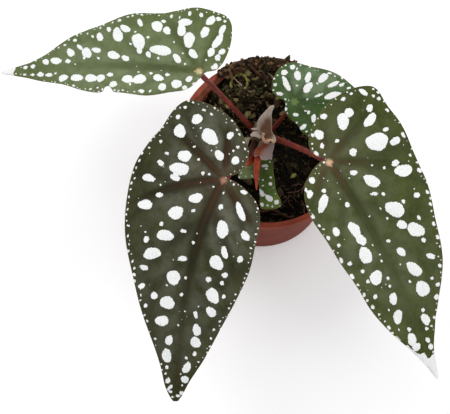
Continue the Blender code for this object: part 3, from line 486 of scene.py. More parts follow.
        (7.3, 15.5, 7, 3.6, 80), (15.3, 15.6, 7.4, 4.2, 55), (12.5, 12, 1.7, 1.4), (1.7, 16.2, 6.6, 3.8, -86),
        (1.5, 9.8, 1.6, 1.4), (-4.6, 11, 10, 3.6, -65), (-8.3, 5, 5, 2.4, -15), (-11, 10.5, 2.5, 2.3),
        (-5.8, 18, 4.2, 3.8), (-1.2, 21.8, 4, 3.2, 90), (1.3, 20.8, 3, 1.2, 90), (3, 23.3, 1.5, 1.4),
        (21.4, 17.4, 1.6, 1.2, 90), (18.5, 18.8, 3, 1.6), (24, -8, 7, 4.4, -20), (33, -4, 6, 3.4, -10),
        (30, -12, 5, 3.4, -30), (40, 2, 5, 3, 10), (22, -15, 4.6, 3.2, -40), (44, -4, 4, 2.6, -20),
        (36, 7, 4, 2.6, 20),
    ),
    "blade_low": (
        (-0.8, -3, 4.6, 2.2, -72), (1.1, -3.1, 2, 1.8), (-4.7, -5.6, 2.2, 1, -40), (-4, -7.7, 1.4, 0.8, -20),
        (7.3, 1.1, 1.7, 1.3, 40), (10.9, -2.4, 2.6, 2.2, -40), (14.5, 4.4, 5.4, 3, -10),
        (18.9, 1.2, 5.4, 3.6, -30), (22.6, -2.2, 3.4, 3, 40), (21.3, 6.3, 2.8, 2.4, 7),
        (24.3, 1, 1.5, 1.2, 40), (2.2, 9.7, 1.2, 0.9), (16.2, 2.8, 2.4, 1.6, -40),
    ),
}

# Silvery ends of the blades, as closed lines that reach past the margin
SILVER_TIPS = {
    "blade_left": (
        (105, -6), (104.4, -3), (104.3, -1.7), (105.6, -0.9), (104.6, 0.3), (105, 3), (116, 3.5),
        (116, -5),
    ),
    "blade_right": (
        (100, -12), (103.5, -8), (109, -4.6), (109.6, -1.6), (113.5, -0.9), (112.4, 4),
        (127, 4), (127, -6), (112, -9),
    ),
}


def linear(red, green, blue):
    """A colour as seen on a screen, from 0 to 1, as Blender's linear values."""
    return tuple(
        shade / 12.92 if shade < 0.04045 else ((shade + 0.055) / 1.055) ** 2.4
        for shade in (red, green, blue)
    )


LOOKS = {
    "blade_left": Look(
        light=(0.37, 0.42, 0.255), dark=(0.25, 0.295, 0.13),
        vein=(0.40, 0.44, 0.28), flush=6.0, dots=26, margin_gap=2.2, joint=(0.74, 0.66, 0.48),
        painted_sheens=((12, 4, 22, 0.6), (60, 2, 28, 0.5), (40, -14, 16, 0.3)), slot="leaf_green",
    ),
    "blade_front": Look(
        light=(0.215, 0.22, 0.095), dark=(0.12, 0.125, 0.035),
        vein=(0.26, 0.17, 0.13), flush=36.0, dots=80, margin_gap=2.6, joint=(0.62, 0.44, 0.36),
        painted_sheens=(
            (20, -14, 16, 0.9), (-14, 16, 18, 0.95), (14, 20, 13, 0.65), (50, 12, 22, 0.45),
            (66, -10, 20, 0.35), (90, 2, 14, 0.45),
        ),
        slot="leaf_olive", shading=1.6,
    ),
    "blade_right": Look(
        light=(0.28, 0.31, 0.14), dark=(0.17, 0.20, 0.065),
        vein=(0.33, 0.32, 0.20), flush=28.0, dots=70, margin_gap=2.2, joint=(0.78, 0.64, 0.52),
        painted_sheens=((12, 6, 20, 0.4), (42, -8, 22, 0.4), (70, 6, 22, 0.35), (-8, 14, 12, 0.2)), slot="leaf_green",
    ),
    "blade_back": Look(
        light=(0.26, 0.36, 0.17), dark=(0.13, 0.23, 0.04),
        vein=(0.36, 0.44, 0.26), flush=0.0, dots=18, margin_gap=2.2, joint=(0.36, 0.45, 0.25),
        painted_sheens=((6, 12, 11, 1.6), (22, 14, 8, 0.9)), slot="leaf_young",
    ),
    "blade_low": Look(
        light=(0.38, 0.46, 0.21), dark=(0.17, 0.27, 0.05),
        vein=(0.38, 0.46, 0.22), flush=0.0, dots=8, margin_gap=3.0, joint=(0.30, 0.40, 0.18),
        painted_sheens=((0, 9, 7, 1.6),), slot="leaf_young",
    ),
}

# Painted shade at the foot of the front leaf's stalk: a brown that fades out along it, in millimetres
FOOT_PAINTED_SHADE = (0.25, 0.175, 0.125)
FOOT_SHADE_FADE = (20.0, 34.0)

FINISHES = {
    "soil_finish": Earth((0.36, 0.32, 0.20), (0.025, 0.018, 0.012), 0.45, 0.95, 0.5),
    "bark_finish": Earth((0.40, 0.31, 0.20), (0.07, 0.05, 0.03), 0.8, 0.85, 0.25),
    "peat_finish": Earth((0.60, 0.55, 0.37), (0.035, 0.027, 0.017), 0.7, 0.95, 0.3),
    "root_finish": Earth((0.72, 0.60, 0.54), (0.38, 0.27, 0.21), 0.5, 0.8, 0.05),
    "moss_finish": Earth((0.52, 0.50, 0.30), (0.26, 0.25, 0.13), 0.6, 0.9, 0.1),
    "grit_finish": Earth((0.66, 0.64, 0.52), (0.40, 0.40, 0.28), 0.6, 0.9, 0.1),
    "flake_finish": Earth((0.62, 0.62, 0.38), (0.50, 0.50, 0.28), 0.8, 0.9, 0.1),
    "strand_finish": Earth((0.70, 0.68, 0.42), (0.42, 0.41, 0.20), 0.7, 0.9, 0.1),
    "heap_finish": Earth((0.52, 0.41, 0.29), (0.10, 0.07, 0.045), 0.4, 0.95, 0.4),
    "cane_finish": Fibre(
        (0.48, 0.40, 0.27), (0.30, 0.19, 0.13), 1.4, 0.25, 0.6, 0.25, flecks=(0.62, 0.52, 0.38),
    ),
    "ridge_finish": Fibre((0.82, 0.68, 0.55), (0.56, 0.40, 0.30), 1.3, 0.3, 0.75, 0.2),
    "coral_finish": Fibre(
        (0.76, 0.34, 0.24), (0.56, 0.20, 0.13), 0.9, 0.2, 0.5, 0.1, coat=0.03, flecks=(0.80, 0.55, 0.42),
    ),
    "rust_finish": Fibre((0.68, 0.34, 0.17), (0.52, 0.15, 0.09), 0.6, 0.3, 0.5, 0.1, coat=0.03),
    "twig_finish": Fibre((0.42, 0.31, 0.22), (0.14, 0.09, 0.06), 1.1, 0.2, 0.85, 0.4),
    "sliver_finish": Fibre((0.38, 0.26, 0.18), (0.10, 0.06, 0.04), 1.6, 0.15, 0.9, 0.4),
    "stalk_finish": Fibre(
        (0.48, 0.19, 0.14), (0.28, 0.09, 0.065), 0.8, 0.12, 0.45, 0.12, coat=0.03, flecks=(0.74, 0.46, 0.36),
    ),
}
FINISHES["stalk_foot_finish"] = FINISHES["stalk_finish"]._replace(foot=FOOT_SHADE_FADE)

# What is strewn on the soil, on the moss strand and on the heap
LOOSE = {
    "peat_crumbs": Loose("crumb", "soil", "peat_finish", 1.0, 0.8, 2.6, 3.0, 0.0002, 0.0012, 500.0, 3),
    "peat_clods": Loose("crumb", "soil", "peat_finish", 0.12, 2.6, 6.0, 3.0, 0.0004, 0.003, 350.0, 7),
    "bark_chips": Loose("chip", "litter", "bark_finish", 0.11, 2.6, 8.5, 0.5, 0.0006, 0.0016, 260.0, 12),
    "root_fibres": Loose("fibre", "litter", "root_finish", 0.16, 4.0, 14.0, 0.3, 0.0005, 0.005, 120.0, 21),
    "moss_wisps": Loose("fibre", "moss", "moss_finish", 0.16, 4.0, 11.0, 0.35, 0.0008, 0.007, 150.0, 32),
    "grit_grains": Loose("grit", "litter", "grit_finish", 0.03, 0.5, 1.4, 3.0, 0.0004, 0.0006, 700.0, 45),
    "moss_leaflets": Loose("leaflet", "moss", "strand_finish", 1.0, 0.4, 0.9, 0.7, 0.0, 0.0003, 900.0, 9),
    "heap_crumbs": Loose("crumb", "litter", "heap_finish", 1.0, 0.8, 3.2, 3.0, 0.0, 0.0014, 500.0, 51),
    "heap_chips": Loose("chip", "litter", "heap_finish", 0.3, 2.0, 6.5, 0.5, 0.0002, 0.0016, 300.0, 57),
}
SOIL_LITTER = ("peat_crumbs", "peat_clods", "bark_chips", "root_fibres", "moss_wisps", "grit_grains")

# Brown patches of the papery sheets: along, out, reach and strength
BROWNS = {
    "stipule_back": ((5.6, 1.0, 4.6, 1.3), (1.6, 0.4, 3.2, 0.9), (10.5, -1.4, 2.8, 0.6)),
    "stipule_tip": ((-0.6, -1.0, 1.6, 0.45),),
    "stipule_front": ((2.4, 1.9, 2.4, 1.1), (-0.8, -1.0, 2.3, 1.0), (5.6, 2.4, 1.8, 0.9)),
    "stipule_side": ((0.4, 0.0, 1.4, 0.6),),
}


class Wiring:
    """Adds nodes to one tree and links them."""

    def __init__(self, tree):
        self.tree = tree

    def link(self, source, target):
        """Link an output to an input."""
        self.tree.links.new(source, target)

    def feed(self, node, inputs):
        """Feed a node's inputs with sockets or values. A colour may leave out its alpha."""
        for label, value in inputs.items():
            socket = node.inputs[label]
            if isinstance(value, bpy.types.NodeSocket):
                self.link(value, socket)
            elif socket.type == "RGBA" and len(value) == 3:
                socket.default_value = (*value, 1.0)
            else:
                socket.default_value = value

    def add(self, kind, inputs=None, **settings):
        """Add a node, set its settings, and feed its inputs."""
        node = self.tree.nodes.new(kind)
        for setting, value in settings.items():
            setattr(node, setting, value)
        self.feed(node, inputs or {})
        return node

    def sum(self, operation, *values, clamp=False):
        """A Math node's result."""
        inputs = dict(enumerate(values))
        return self.add("ShaderNodeMath", inputs, operation=operation, use_clamp=clamp).outputs[0]

    times = partialmethod(sum, "MULTIPLY")
    plus = partialmethod(sum, "ADD")
    times_plus = partialmethod(sum, "MULTIPLY_ADD")

    def arrow(self, operation, *values):
        """A Vector Math node's result."""
        return self.add("ShaderNodeVectorMath", dict(enumerate(values)), operation=operation).outputs[0]

    def scaled(self, vector, factor):
        """A vector made longer or shorter."""
        return self.add("ShaderNodeVectorMath", {0: vector, "Scale": factor}, operation="SCALE").outputs[0]

    def combine(self, *parts):
        """A vector from its parts."""
        return self.add("ShaderNodeCombineXYZ", dict(enumerate(parts))).outputs[0]

    def parts(self, vector):
        """The parts of a vector."""
        return self.add("ShaderNodeSeparateXYZ", {0: vector}).outputs

    def mix(self, share, one, two):
        """One colour turning into another as the share goes from 0 to 1."""
        return self.add("ShaderNodeMix", {0: share, 6: one, 7: two}, data_type="RGBA").outputs[2]

    def fade(self, value, start, end, low=0.0, high=1.0):
        """Ease from low to high as the value goes from start to end."""
        inputs = {0: value, 1: start, 2: end, 3: low, 4: high}
        return self.add("ShaderNodeMapRange", inputs, interpolation_type="SMOOTHSTEP").outputs[0]

    def cloud(self, place, scale, detail=3.0, roughness=0.55, distortion=0.0, output=0):
        """A soft random value from 0 to 1, or a random colour as output 1."""
        return self.add("ShaderNodeTexNoise", {
            "Vector": place, "Scale": scale, "Detail": detail,
            "Roughness": roughness, "Distortion": distortion,
        }).outputs[output]

    def cells(self, place, scale):
        """Distance to the middle of the nearest of many cells."""
        return self.add("ShaderNodeTexVoronoi", {"Vector": place, "Scale": scale}).outputs["Distance"]

    def own_place(self):
        """A spot's own place on a piece, in millimetres."""
        coordinates = self.add("ShaderNodeTexCoord").outputs["Object"]
        return self.arrow("MULTIPLY", coordinates, (1000.0, 1000.0, 1000.0))

    def carried(self, name, output="Fac"):
        """A number that the mesh carries, or a vector if the output says so."""
        return self.add("ShaderNodeAttribute", attribute_name=name).outputs[output]

    def geo(self, kind, inputs=None, **settings):
        """The first output of a new node that works on meshes or curves."""
        return self.add("GeometryNode" + kind, inputs, **settings).outputs[0]

    def named(self, name):
        """A number that the mesh or curve carries, in a tree that works on it."""
        return self.geo("InputNamedAttribute", {"Name": name})

    def carry(self, mesh, name, value, **settings):
        """Let a mesh or curve carry a value."""
        return self.geo("StoreNamedAttribute", {0: mesh, "Name": name, "Value": value}, **settings)

    def give(self, end, values):
        """Hand the group's results to its outputs, and give the group back."""
        for label, value in values.items():
            self.link(value, end[label])
        return self.tree

    def finish(self, mesh, start, end):
        """End a tree: real meshes, with the material that was asked for."""
        mesh = self.geo("RealizeInstances", {0: mesh})
        return self.give(end, {"Geometry": self.geo("SetMaterial", {0: mesh, "Material": start["Material"]})})


def new_group(name, inputs, outputs, tree_kind="ShaderNodeTree"):
    """The wiring of a new node group, its inputs and its outputs.

    An input is given by its first value, or by its kind if it has none. An output is given
    by its kind.
    """
    nodes = Wiring(bpy.data.node_groups.new(name, tree_kind))
    new_socket = nodes.tree.interface.new_socket
    for label, value in inputs.items():
        kind = {int: "Int", float: "Float", tuple: "Color"}.get(type(value), value)
        socket = new_socket(label, in_out="INPUT", socket_type="NodeSocket" + kind)
        if kind != value:
            socket.default_value = value
    for label, kind in outputs.items():
        new_socket(label, in_out="OUTPUT", socket_type="NodeSocket" + kind)
    return nodes, nodes.add("NodeGroupInput").outputs, nodes.add("NodeGroupOutput").inputs


def new_tree(name, inputs):
    """A Geometry Nodes tree that also takes a mesh and a material, and puts a mesh out."""
    inputs = {"Geometry": "Geometry", **inputs, "Material": "Material"}
    return new_group(name, inputs, {"Geometry": "Geometry"}, "GeometryNodeTree")


def shared(name, build):
    """A node group that is built once and then found by its name."""
    return bpy.data.node_groups.get(name) or build(name)


# Shader groups


def build_grain_group(name):
    """Streaks along a piece, and their height: papery and woody fibres, and stalks."""
    nodes, start, end = new_group(name, {
        "Place": "Vector", "Light": (0.5, 0.4, 0.3, 1.0), "Dark": (0.2, 0.1, 0.05, 1.0),
        "Stretch": 0.15, "Scale": 2.0,
    }, {"Color": "Color", "Height": "Float"})
    place = nodes.arrow("MULTIPLY", start["Place"], nodes.combine(start["Stretch"], 1, 1))
    streaks = nodes.cloud(place, start["Scale"], 5, 0.6)
    patches = nodes.cloud(start["Place"], nodes.times(start["Scale"], 0.18), 2)
    share = nodes.plus(nodes.fade(streaks, 0.32, 0.68, 0, 0.7), nodes.fade(patches, 0.35, 0.7, 0, 0.3))
    return nodes.give(end, {"Color": nodes.mix(share, start["Light"], start["Dark"]), "Height": streaks})


def build_leaf_group(name):
    """The skin of a spotted leaf on both faces: its colour, its height and its gloss."""
    colours = ("Light", "Dark", "Vein", "Flush", "Joint", "Rim", "Spot", "Under", "Under Vein")
    inputs = {**dict.fromkeys(colours, (0.2, 0.2, 0.2, 1.0)), "Flush Reach": 20.0}
    outputs = {"Color": "Color", "Height": "Float", "Roughness": "Float"}
    nodes, start, end = new_group(name, inputs, outputs)
    flat = nodes.carried("flat", "Vector")
    vein = nodes.carried("vein")
    reach = nodes.carried("reach")
    rim = nodes.carried("rim")
    fray = nodes.fade(nodes.cloud(flat, 1.3, 3, 0.6), 0.4, 0.7, 0.04, -0.36)
    spot = nodes.fade(nodes.plus(nodes.carried("edge"), fray), 0, 0.08)
    spot = nodes.times(spot, nodes.carried("spot"))
    under = nodes.carried("under")

    patches = nodes.cloud(flat, 0.07, 3, 0.6, 0.6)
    mottle = nodes.cloud(flat, 0.6, 3, 0.65)
    islets = nodes.cells(flat, 1.5)
    share = nodes.plus(nodes.fade(patches, 0.3, 0.7, 0, 0.55), nodes.fade(mottle, 0.35, 0.65, 0, 0.3))
    share = nodes.plus(share, nodes.fade(islets, 0.1, 0.6, 0.12, -0.02), clamp=True)
    skin = nodes.mix(share, start["Dark"], start["Light"])
    # Painted sheen: paler grey patches where the skin catches the light
    painted_sheen_colour = nodes.mix(0.08, start["Light"], start["Spot"])
    clouds = nodes.fade(nodes.cloud(flat, 0.16, 3, 0.6), 0.3, 0.6, 0.35, 1.2)
    skin = nodes.mix(nodes.times(nodes.carried("sheen"), clouds, clamp=True), skin, painted_sheen_colour)
    # Painted shade: the skin darkens towards black along the vein troughs
    shaded = nodes.times(nodes.carried("trough"), nodes.fade(patches, 0.35, 0.65, 0.35, 0.7))
    skin = nodes.mix(shaded, skin, (0, 0, 0))
    skin = nodes.mix(nodes.times(vein, 0.22), skin, start["Vein"])
    near = nodes.fade(reach, 0, start["Flush Reach"], 1, 0)
    tint = nodes.times(near, nodes.times_plus(vein, 0.45, 0.12))
    skin = nodes.mix(tint, skin, start["Flush"])
    rays = nodes.times_plus(vein, -2.2, reach)
    centre = nodes.fade(nodes.times_plus(mottle, -1.2, rays), -0.6, 1.6, 0.9, 0)
    skin = nodes.mix(centre, skin, start["Joint"])
    ragged = nodes.times_plus(mottle, -0.35, rim)
    skin = nodes.mix(nodes.fade(ragged, -0.1, 0.08, 0.75, 0), skin, start["Rim"])

    pits = nodes.fade(nodes.cells(flat, 1.35), 0.1, 0.5)
    dust = nodes.cloud(flat, 1.2, 4, 0.7)
    white = nodes.mix(
        nodes.plus(nodes.fade(pits, 0, 1, 0.3, 0), nodes.fade(dust, 0.42, 0.66, 0, 0.3)),
        start["Spot"], nodes.mix(0.45, start["Spot"], start["Light"]),
    )
    upper = nodes.mix(spot, skin, white)

    stain = nodes.cloud(flat, 0.16, 4, 0.6)
    lower = nodes.mix(nodes.fade(stain, 0.3, 0.75, 0, 0.55), start["Under"], start["Light"])
    lower = nodes.mix(nodes.times(spot, 0.28), lower, start["Spot"])
    lower = nodes.mix(nodes.times(vein, 0.75), lower, start["Under Vein"])

    height = nodes.times_plus(islets, -0.5, nodes.times(mottle, 0.6))
    rough_spot = nodes.times_plus(pits, 0.5, nodes.times(dust, 0.35))
    height = nodes.plus(height, nodes.times(spot, rough_spot))
    gloss = nodes.times_plus(mottle, 0.16, 0.42)
    gloss = nodes.times_plus(spot, 0.14, gloss)
    return nodes.give(end, {
        "Color": nodes.mix(under, upper, lower),
        "Height": height,
        "Roughness": nodes.times_plus(under, 0.12, gloss),
    })


def build_crumble_group(name):
    """Dark earthy matter: a colour that differs from grain to grain, with painted shade towards the front,
    and its height.
    """
    nodes, start, end = new_group(name, {
        "Light": (0.05, 0.04, 0.03, 1.0), "Dark": (0.01, 0.008, 0.006, 1.0), "Scale": 0.5,
    }, {"Color": "Color", "Height": "Float"})
    place = nodes.own_place()
    coarse = nodes.cloud(place, start["Scale"], 4, 0.7)
    fine = nodes.cloud(place, nodes.times(start["Scale"], 7), 4, 0.75)
    tone = nodes.fade(nodes.carried("tone"), 0, 0.5)
    share = nodes.plus(nodes.fade(coarse, 0.42, 0.75, 0, 0.35), nodes.fade(fine, 0.5, 0.75, 0, 0.35))
    share = nodes.times_plus(tone, nodes.times_plus(fine, 1.2, 0.1), share)
    # Painted shade: every crumbly finish darkens towards the front, where the soil lies in shade
    back = nodes.parts(place)[1]
    share = nodes.times(share, nodes.fade(back, 2, 26, 0.32, 1), clamp=True)
    return nodes.give(end, {
        "Color": nodes.mix(share, start["Dark"], start["Light"]),
        "Height": nodes.times_plus(fine, 0.6, coarse),
    })


def new_material(name):
    """An empty material and the wiring of its nodes."""
    material = bpy.data.materials.new(name)
    material.use_nodes = True
    return material, Wiring(material.node_tree)


def surface(material, nodes, colour, roughness, height, depth, specular, coat=0.0):
    """Feed a material's shader, with a bump of a depth in millimetres, and give it back."""
    bump = nodes.add("ShaderNodeBump", {"Height": height, "Strength": 1, "Distance": depth * MM})
    nodes.feed(material.node_tree.nodes["Principled BSDF"], {
        "Base Color": colour, "Roughness": roughness, "Normal": bump.outputs["Normal"],
        "Specular IOR Level": specular, "Coat Weight": coat, "Coat Roughness": 0.25,
    })
    return material


def leaf_material(name, look, settings):
    """The skin of one blade."""
    material, nodes = new_material(name + "_skin")
    colour, height, roughness = nodes.add("ShaderNodeGroup", {
        "Light": linear(*look.light), "Dark": linear(*look.dark), "Vein": linear(*look.vein),
        "Joint": linear(*look.joint), "Flush": settings.flush, "Flush Reach": look.flush + 0.1,
        "Rim": settings.margin, "Spot": settings.spot, "Under": settings.underside,
        "Under Vein": settings.under_vein,
    }, node_tree=shared("Leaf skin", build_leaf_group)).outputs
    return surface(material, nodes, colour, roughness, height, settings.grain, 0.1)


def fibre_material(name, row):
    """A streaked finish that follows the piece's own grain."""
    material, nodes = new_material(name)
    place = nodes.carried("grain", "Vector")
    colour, height = nodes.add("ShaderNodeGroup", {
        "Place": place, "Light": linear(*row.light), "Dark": linear(*row.dark),
        "Scale": row.scale, "Stretch": row.stretch,
    }, node_tree=shared("Fibre grain", build_grain_group)).outputs
    if row.flecks:
        lengthen = nodes.arrow("MULTIPLY", place, (0.45, 1, 1))
        fleck = nodes.fade(nodes.cells(lengthen, 0.75), 0.1, 0.16, 1, 0)
        colour = nodes.mix(nodes.times(fleck, 0.75), colour, linear(*row.flecks))
    # Painted shade: the stalk turns brown near its foot
    if row.foot:
        colour = nodes.mix(nodes.fade(nodes.parts(place)[0], *row.foot), linear(*FOOT_PAINTED_SHADE), colour)
    return surface(material, nodes, colour, row.roughness, height, row.depth, 0.16, row.coat)


def earth_material(name, row):
    """A crumbly finish for soil, bark and moss."""
    material, nodes = new_material(name)
    colour, height = nodes.add("ShaderNodeGroup", {
        "Light": linear(*row.light), "Dark": linear(*row.dark), "Scale": row.scale,
    }, node_tree=shared("Crumble", build_crumble_group)).outputs
    return surface(material, nodes, colour, row.roughness, height, row.depth, 0.1)


def finish(name):
    """A material of the table of finishes, made when it is first asked for."""
    row = FINISHES[name]
    build = fibre_material if isinstance(row, Fibre) else earth_material
    return bpy.data.materials.get(name) or build(name, row)


def pot_material(settings):
    """Moulded plastic: satin, a little mottled, scuffed and dusty with soil inside, with painted light on the
    inner wall and painted shade on the outer wall.
    """
    material, nodes = new_material("pot_plastic_finish")
    place = nodes.own_place()
    cloudy = nodes.cloud(place, 0.05, 3, 0.6)
    pebbled = nodes.cloud(place, 2.2, 2, 0.5)
    upright = nodes.arrow("MULTIPLY", place, (1, 1, 0.04))
    scuffs = nodes.fade(nodes.cloud(upright, 0.8, 5, 0.75), 0.62, 0.78)
    colour = nodes.mix(nodes.fade(cloudy, 0.3, 0.7), settings.shade, settings.colour)
    colour = nodes.mix(nodes.times(scuffs, 0.22), colour, settings.scuff_and_painted_light)
    x, y, z = nodes.parts(place)
    round_about = nodes.sum("SQRT", nodes.plus(nodes.times(x, x), nodes.times(y, y)))
    wall = nodes.times_plus(z, POT_TAPER, BASE_RADIUS - 0.7)
    within = nodes.sum("SUBTRACT", round_about, wall)
    low = nodes.fade(z, SOIL_LEVEL, POT_HEIGHT, 0.4, -0.12)
    splash = nodes.plus(nodes.cloud(place, 0.35, 5, 0.75), low)
    dirt = nodes.times(nodes.fade(splash, 0.55, 0.7, 0, 0.8), nodes.fade(within, -0.3, 0.1, 1, 0))
    # Painted light: pale mottled patches on the lit inner wall at the back and sides, in the scuff colour
    painted_light = nodes.fade(nodes.cloud(place, 0.16, 5, 0.7), 0.38, 0.6, 0.1, 0.85)
    painted_light = nodes.times(painted_light, nodes.fade(within, -0.3, 0.6, 1, 0))
    painted_light = nodes.times(painted_light, nodes.fade(y, -30, -10))
    colour = nodes.mix(painted_light, colour, settings.scuff_and_painted_light)
    shadow = nodes.times(nodes.fade(within, -0.3, 0.1), nodes.fade(z, 80, 84, 0.36, 0))
    colour = nodes.mix(shadow, colour, (0.03, 0.006, 0.004))
    colour = nodes.mix(dirt, colour, linear(0.15, 0.10, 0.07))
    roughness = nodes.times_plus(dirt, 0.35, nodes.times_plus(cloudy, 0.18, 0.4))
    return surface(material, nodes, colour, roughness, nodes.plus(pebbled, scuffs), 0.05, 0.01)


# Meshes


def store(mesh, name, values, domain="POINT"):
    """Give a mesh one number, or one vector, for each point or face."""
    values = np.asarray(values, np.float32)
    kind = "FLOAT_VECTOR" if values.ndim == 2 else "FLOAT"
    attribute = mesh.attributes.new(name, kind, domain)
    attribute.data.foreach_set("vector" if values.ndim == 2 else "value", values.ravel())


def store_twice(mesh, **values_by_name):
    """Give a thick sheet values that are alike on both of its faces."""
    for name, values in values_by_name.items():
        store(mesh, name, np.concatenate((values, values)))


def new_object(name, data):
    """An object of the scene with this mesh, light or camera."""
    obj = bpy.data.objects.new(name, data)
    bpy.context.scene.collection.objects.link(obj)
    return obj


def add_object(name, points, faces, material=None, edges=()):
    """An object from points in millimetres, smooth shaded, at the origin."""
    mesh = bpy.data.meshes.new(name)
    mesh.from_pydata((np.asarray(points, float) * MM).tolist(), list(edges), faces)
    if material:
        mesh.materials.append(material)
    if faces:
        mesh.shade_smooth()
    return new_object(name, mesh)


def hand_over(obj, slot, *nodes):
    """Let a finished piece ride on the plant's one body and stand for its solids."""
    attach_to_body(obj, "root")
    if nodes:
        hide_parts(*nodes)


def apply_tree(obj, tree, settings):
    """Run a Geometry Nodes tree on an object and keep the result as its mesh."""
    modifier = obj.modifiers.new(tree.name, "NODES")
    modifier.node_group = tree
    for item in tree.interface.items_tree:
        if item.item_type == "SOCKET" and item.in_out == "INPUT" and item.name in settings:
            modifier[item.identifier] = settings[item.name]
    bpy.context.view_layer.update()
    evaluated = obj.evaluated_get(bpy.context.evaluated_depsgraph_get())
    mesh = bpy.data.meshes.new_from_object(evaluated)
    obj.modifiers.remove(modifier)
    old = obj.data
    obj.data = mesh
    bpy.data.meshes.remove(old)
    mesh.name = obj.name
    return obj


# Geometry Nodes trees


def build_stem_tree(name):
    """A round stem along a line of points, with lumps on its surface."""
    nodes, start, end = new_tree(name, {"Sides": 16, "Lumps": 0.0, "Lump Scale": 300.0})
    parameter = nodes.add("GeometryNodeSplineParameter").outputs
    curve = nodes.geo("MeshToCurve", {0: start["Geometry"]})
    curve = nodes.carry(curve, "run", parameter["Length"])
    ring = nodes.geo("CurvePrimitiveCircle", {"Resolution": start["Sides"], "Radius": 1})
    ring = nodes.carry(ring, "round", parameter["Factor"])
    tube = nodes.geo("CurveToMesh", {
        "Curve": curve, "Profile Curve": ring, "Scale": nodes.named("thickness"), "Fill Caps": True,
    })
    lump = nodes.cloud(nodes.geo("InputPosition"), start["Lump Scale"], 2)
    rise = nodes.times(nodes.sum("SUBTRACT", lump, 0.5), start["Lumps"])
    offset = nodes.scaled(nodes.geo("InputNormal"), rise)
    tube = nodes.geo("SetPosition", {"Geometry": tube, "Offset": offset})
    about = nodes.times(nodes.named("round"), tau)
    grain = nodes.combine(
        nodes.times(nodes.named("run"), 1000),
        nodes.times(nodes.sum("SINE", about), 1.8),
        nodes.times(nodes.sum("COSINE", about), 1.8),
    )
    tube = nodes.carry(tube, "grain", grain, data_type="FLOAT_VECTOR")
    return nodes.finish(nodes.geo("SetShadeSmooth", {0: tube}), start, end)


def build_scatter_tree(name):
    """Copies of one small shape strewn over a surface, each turned, scaled and ruffled."""
    nodes, start, end = new_tree(name, {
        "Shape": "Object", "Per Square Metre": 1e5, "Smallest": 0.5, "Largest": 1.5, "Tilt": 0.5,
        "Lift": 0.0, "Ruffle": 0.0005, "Ruffle Scale": 400.0, "Seed": 1,
    })

    def draw(low, high, seed, kind="FLOAT", first=2, output=1):
        inputs = {first: low, first + 1: high, "Seed": nodes.plus(start["Seed"], seed)}
        return nodes.add("FunctionNodeRandomValue", inputs, data_type=kind).outputs[output]

    strewn = nodes.add("GeometryNodeDistributePointsOnFaces", {
        "Mesh": start["Geometry"],
        "Density": nodes.times(nodes.named("heap"), start["Per Square Metre"]),
        "Seed": start["Seed"],
    }).outputs
    shape = nodes.add("GeometryNodeObjectInfo", {"Object": start["Shape"], "As Instance": False})
    turned = draw((-1.0, -1.0, -3.2), (1.0, 1.0, 3.2), 11.0, "FLOAT_VECTOR", 0, 0)
    tilt = nodes.arrow("MULTIPLY", turned, nodes.combine(start["Tilt"], start["Tilt"], 1))
    turn = nodes.add("FunctionNodeRotateRotation", {
        "Rotation": strewn["Rotation"],
        "Rotate By": nodes.add("FunctionNodeEulerToRotation", {0: tilt}).outputs[0],
    }, rotation_space="LOCAL").outputs[0]
    raised = nodes.scaled(strewn["Normal"], start["Lift"])
    copies = nodes.geo("InstanceOnPoints", {
        "Points": nodes.geo("SetPosition", {"Geometry": strewn["Points"], "Offset": raised}),
        "Instance": shape.outputs["Geometry"],
        "Rotation": turn,
        "Scale": draw(start["Smallest"], start["Largest"], 23.0),
    })
    copies = nodes.carry(copies, "tone", draw(-0.5, 0.5, 37), domain="INSTANCE")
    mesh = nodes.geo("RealizeInstances", {0: copies})
    cloud = nodes.cloud(nodes.geo("InputPosition"), start["Ruffle Scale"], 2, 0.5, output=1)
    drift = nodes.scaled(nodes.arrow("SUBTRACT", cloud, (0.5, 0.5, 0.5)), start["Ruffle"])
    return nodes.finish(nodes.geo("SetPosition", {"Geometry": mesh, "Offset": drift}), start, end)


def build_perforate_tree(name):
    """Round holes in a ring through a floor."""
    nodes, start, end = new_tree(name, {"Holes": 6, "Circle": 0.029, "Hole Radius": 0.0035, "Depth": 0.012})
    ring = nodes.geo("MeshCircle", {"Vertices": start["Holes"], "Radius": start["Circle"]})
    half_turn = nodes.combine(0, 0, nodes.sum("DIVIDE", pi, start["Holes"]))
    turn = nodes.add("FunctionNodeEulerToRotation", {0: half_turn}).outputs[0]
    ring = nodes.geo("Transform", {"Geometry": ring, "Rotation": turn})
    drill = nodes.geo("MeshCylinder", {
        "Vertices": 32, "Radius": start["Hole Radius"], "Depth": start["Depth"],
    })
    drills = nodes.geo("InstanceOnPoints", {"Points": ring, "Instance": drill})
    drills = nodes.geo("RealizeInstances", {0: drills})
    meshes = {"Mesh 1": start["Geometry"], "Mesh 2": drills}
    cut = nodes.geo("MeshBoolean", meshes, operation="DIFFERENCE", solver="EXACT")
    return nodes.finish(cut, start, end)


# Shapes that more than one piece uses


def smooth_step(value):
    """Ease from 0 to 1 as the value, or each of an array, goes from 0 to 1."""
    value = np.clip(value, 0.0, 1.0)
    return value * value * (3.0 - 2.0 * value)


def bell(value):
    """Fall from 1 towards 0 as the value, or each of an array, goes away from 0."""
    return np.exp(-(value ** 2))


